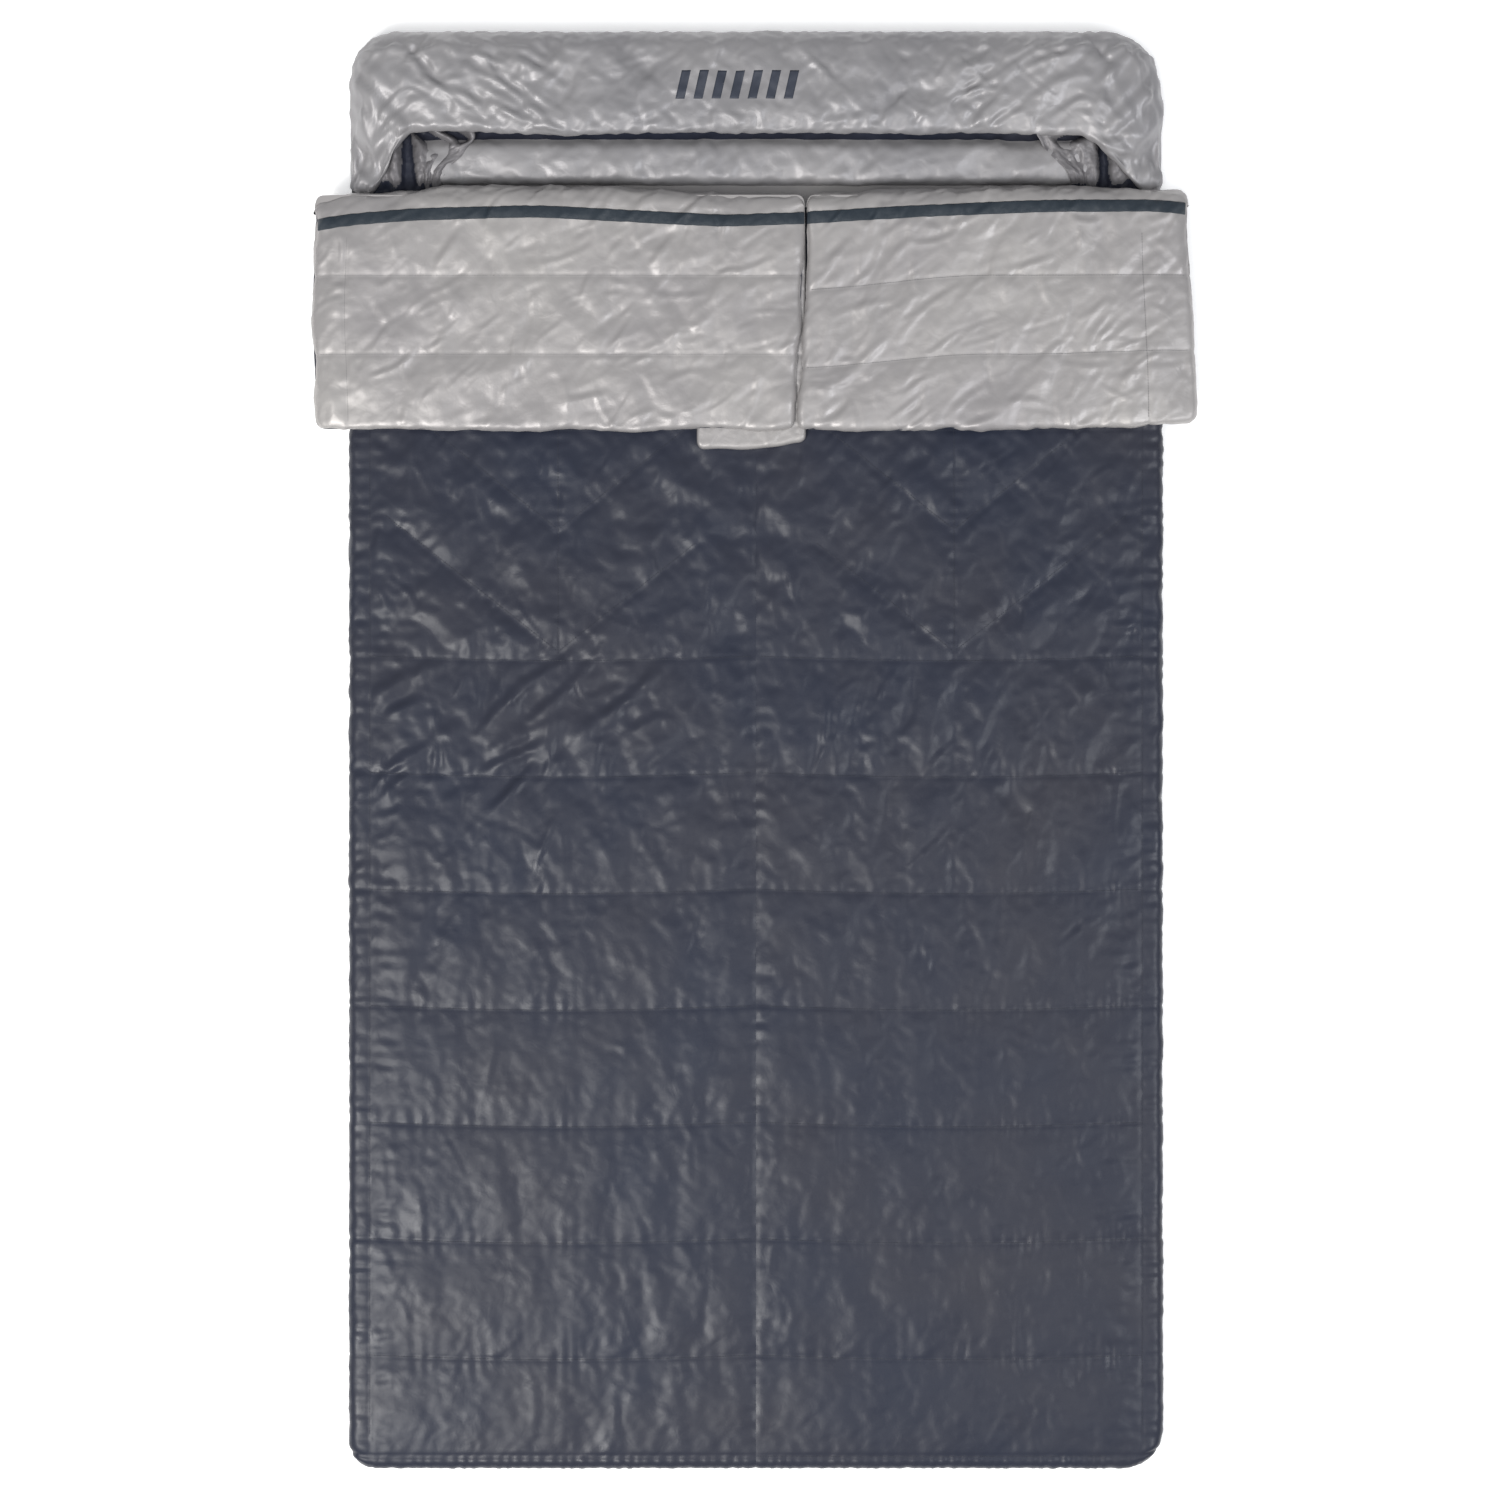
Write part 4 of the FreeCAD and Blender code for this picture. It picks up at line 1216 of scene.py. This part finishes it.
def stitches(name, tree, paths, material, slot, body):
    """Thread stitches along paths in plan, each a small rod laid on the cloth."""
    bm = bmesh.new()
    bmesh.ops.create_cone(bm, cap_ends=True, segments=5, radius1=STITCH_THICK, radius2=STITCH_THICK,
                          depth=STITCH_LONG)
    one = bpy.data.meshes.new("stitch")
    bm.to_mesh(one)
    shape = coordinates(one)
    places = []
    bm.free()
    bm = bmesh.new()
    for px, py in paths:
        run = np.concatenate([[0], np.cumsum(np.hypot(np.diff(px), np.diff(py)))])
        at = np.arange(STITCH_STEP, run[-1] - STITCH_STEP, STITCH_STEP)
        sx, sy = np.interp(at, run, px), np.interp(at, run, py)
        ex, ey = np.interp(at + STITCH_LONG, run, px), np.interp(at + STITCH_LONG, run, py)
        for a, b, c, d in zip(sx, sy, ex, ey):
            start, up = top_of(tree, a, b, None)
            end, _ = top_of(tree, c, d, None)
            if start is None or end is None or abs(end - start) > STITCH_CLIMB:
                continue
            ahead = Vector((c - a, d - b, end - start)).normalized()
            aside = up.cross(ahead).normalized()
            over = ahead.cross(aside)
            middle = Vector(((a + c) / 2, (b + d) / 2, (start + end) / 2)) + over * STITCH_THICK * 0.6
            places.append(shape @ np.array([aside, over, ahead]) + np.array(middle))
            bm.from_mesh(one)
    bmesh.ops.recalc_face_normals(bm, faces=bm.faces)
    piece = made_piece(name, bm)
    set_coordinates(piece.data, np.concatenate(places))
    bpy.data.meshes.remove(one)
    finish_piece(piece, material, slot)
    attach(piece, body)


def row_path(x0, x1, t, bend, count=60):
    x = np.linspace(x0, x1, count)
    return x, bend(x, 0 * x + t)


def quilt_stitches(side, tree):
    """Stitches along the rows, the edge band and the chevrons of one half, and the foot seam on the right."""
    paths = [row_path(side * 0.004, side * SEAM_X, t, sagged) for t in BASE_ROWS]
    y = np.linspace(FOOT_SEAM_Y + 0.03, FOLD_Y - 0.01, 120)
    paths.append((0 * y + side * SEAM_X, y))
    for x0, y0, x1, y1 in chevrons(side):
        paths.append((np.linspace(x0, x1, 20), np.linspace(y0, y1, 20)))
    if side > 0:
        paths.append(row_path(-0.57, 0.55, FOOT_SEAM_Y, sagged, 120))
    stitches(f"quilt_stitches_{SIDES[side]}", tree, paths, THREAD_DARK, "dark_tape", "bag")


def flap_stitches(side, tree):
    """Stitches along a flap's rows and its outer seam."""
    word = SIDES[side]
    x0, x1 = (-0.676, 0.066) if side < 0 else (0.084, 0.676)
    paths = []
    for t in FLAP_ROWS:
        x = np.linspace(x0, x1, 80)
        across, along = flap_shift(side, x, 0 * x + t)
        paths.append((x + across, t + along))
    y = np.linspace(FLAP_FREE_Y + 0.01, 0.80, 60)
    edge = side * FLAP_EDGE_SEAM[side] + 0 * y
    across, along = flap_shift(side, edge, y)
    paths.append((edge + across, y + along))
    stitches(f"flap_stitches_{word}", tree, paths, THREAD_GREY, "grey_lining", f"{word}_flap")


TOOTH_PITCH = 0.0026
TOOTH_WIDTH = 0.62           # a tooth's share of the pitch


def zip_teeth(side):
    """The two rows of teeth, a small bevelled block copied along each coil."""
    word = SIDES[side]
    for coil, shift in (("base", 0.0), ("quilt", 0.5)):
        low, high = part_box(f"{word}_zip_{coil}_coil")
        count = int((high.y - low.y) / TOOTH_PITCH) - 1
        bm = bmesh.new()
        bmesh.ops.create_cube(bm, size=1)
        size = (high.x - low.x, TOOTH_PITCH * TOOTH_WIDTH, high.z - low.z)
        bmesh.ops.scale(bm, vec=size, verts=bm.verts)
        bmesh.ops.bevel(bm, geom=bm.edges[:], offset=0.0004, segments=1, profile=0.5, affect="EDGES",
                        material=-1)
        start = low.y + TOOTH_PITCH * (0.6 + shift)
        bmesh.ops.translate(bm, vec=((low.x + high.x) / 2, start, (low.z + high.z) / 2), verts=bm.verts)
        one = bpy.data.meshes.new("tooth")
        bm.to_mesh(one)
        shape = coordinates(one)
        for _ in range(count - 1):
            bm.from_mesh(one)
        piece = made_piece(f"zip_{coil}_teeth_{word}", bm)
        steps = np.arange(count)[:, None, None] * np.array([0, TOOTH_PITCH, 0])
        set_coordinates(piece.data, (shape[None] + steps).reshape(-1, 3))
        bpy.data.meshes.remove(one)
        finish_piece(piece, ZIP_COIL, "zip_coil", f"{word}_zip_{coil}_coil")
        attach(piece, "bag")


def paint_cad_zips():
    """Finishes for the zips' own solids that stay visible."""
    finishes = {"base_tape": ZIP_TAPE, "quilt_tape": ZIP_TAPE, "stops": ZIP_METAL, "slider": ZIP_METAL,
                "pull": ZIP_METAL}
    for word in SIDES.values():
        for part, material in finishes.items():
            paint_mesh(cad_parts[f"{word}_zip_{part}"].data, material)


# ---------------------------------------------------------------- making the quilt

covers = {side: quilt_cover(side) for side in SIDES}
faces = {side: flap_face(side) for side in SIDES}
pad = head_pad()
cover_over_head = hood()
gussets = {side: gusset(side) for side in SIDES}
run_cloth()

for side, word in SIDES.items():
    finish_quilt_cover(covers[side], side)
    finish_flap_face(faces[side], side)
    under = flap_under(side)
    face_tree = tree_of(faces[side])
    flap_tape(side, face_tree)
    flap_stitches(side, face_tree)
    quilt_stitches(side, tree_of(covers[side]))
    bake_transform(faces[side])
    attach(under, f"{word}_flap")
    finish_gusset(gussets[side], side)
    zip_teeth(side)
    wall_foot = (side * SIDE_WALL_X, FOOT_SEAM_Y + 0.03)
    wall_head = (side * SIDE_WALL_X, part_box("right_side_wall")[1].y - 0.001)
    gathered_wall(f"side_wall_{word}", wall_foot, wall_head, (side, 0), f"{word}_side_wall", 121)

finish_head_pad(pad)
finish_hood(cover_over_head)
hood_print(tree_of(cover_over_head))
underlap()
base_cover()
flat_lining("base_lining", 0.620, -1.106, 1.106, BASE_TOP, 123)
flat_lining("quilt_lining", 0.600, FOOT_SEAM_Y, FOLD_Y, QUILT_LOW + 0.0002, 125)
gathered_wall("foot_wall_strip", (-0.56, FOOT_WALL_Y), (0.55, FOOT_WALL_Y), (0, -1), "foot_wall", 127)
paint_cad_zips()

# ---------------------------------------------------------------- floor, light and camera

FLOOR_HALF = 12
FLOOR_GLOW = 0.40            # keeps the pale floor's shadows faint


def floor():
    bm = bmesh.new()
    bmesh.ops.create_grid(bm, x_segments=1, y_segments=1, size=FLOOR_HALF)
    piece = made_piece("floor", bm)
    material, shader = new_material("pale floor", 0.9, specular=0.1)
    place = material.node_tree.nodes.new("ShaderNodeTexCoord").outputs["Object"]
    tone = node(material, "TexNoise", Vector=place, Scale=1.5, Detail=2.0)
    result = blend_colours(material, tone.outputs[0], (0.90, 0.90, 0.90, 1), (0.93, 0.93, 0.93, 1))
    material.node_tree.links.new(result, shader.inputs["Base Color"])
    shader.inputs["Emission Color"].default_value = (1, 1, 1, 1)
    shader.inputs["Emission Strength"].default_value = FLOOR_GLOW
    piece.data.materials.append(material)


def soft_light(name, place, size, power, colour, target=(0, 0, 0.05), glossy=True):
    lamp = bpy.data.lights.new(name, "AREA")
    lamp.shape = "SQUARE"
    lamp.size, lamp.energy, lamp.color = size, power, colour
    holder = bpy.data.objects.new(name, lamp)
    holder.location = place
    holder.rotation_euler = (Vector(target) - Vector(place)).to_track_quat("-Z", "Y").to_euler()
    holder.visible_glossy = glossy
    scene.collection.objects.link(holder)


floor()
soft_light("key", (-2.2, -2.1, 4.8), size=1.6, power=205, colour=(1.0, 0.985, 0.96))
soft_light("fill", (2.9, -1.0, 4.1), size=1.4, power=75, colour=(0.95, 0.97, 1.0))
soft_light("top", (-0.3, -0.6, 5.6), size=3.0, power=175, colour=(1.0, 1.0, 1.0), glossy=False)
world = bpy.data.worlds.new("studio")
world.use_nodes = True
world.node_tree.nodes["Background"].inputs[0].default_value = (0.92, 0.95, 1.0, 1)
world.node_tree.nodes["Background"].inputs[1].default_value = 0.26
scene.world = world
scene.view_settings.view_transform = "Standard"

CAMERA_X = -0.0093
CAMERA_HEIGHT = 6.0
QUILT_HEIGHT = 0.08          # where the view's width is measured
VIEW_WIDTH = 2.329
lens = bpy.data.cameras.new("camera")
lens.lens = lens.sensor_width * (CAMERA_HEIGHT - QUILT_HEIGHT) / VIEW_WIDTH
lens.clip_end = 50
camera = bpy.data.objects.new("camera", lens)
camera.location = (CAMERA_X, 0.0, CAMERA_HEIGHT)
scene.collection.objects.link(camera)
scene.camera = camera
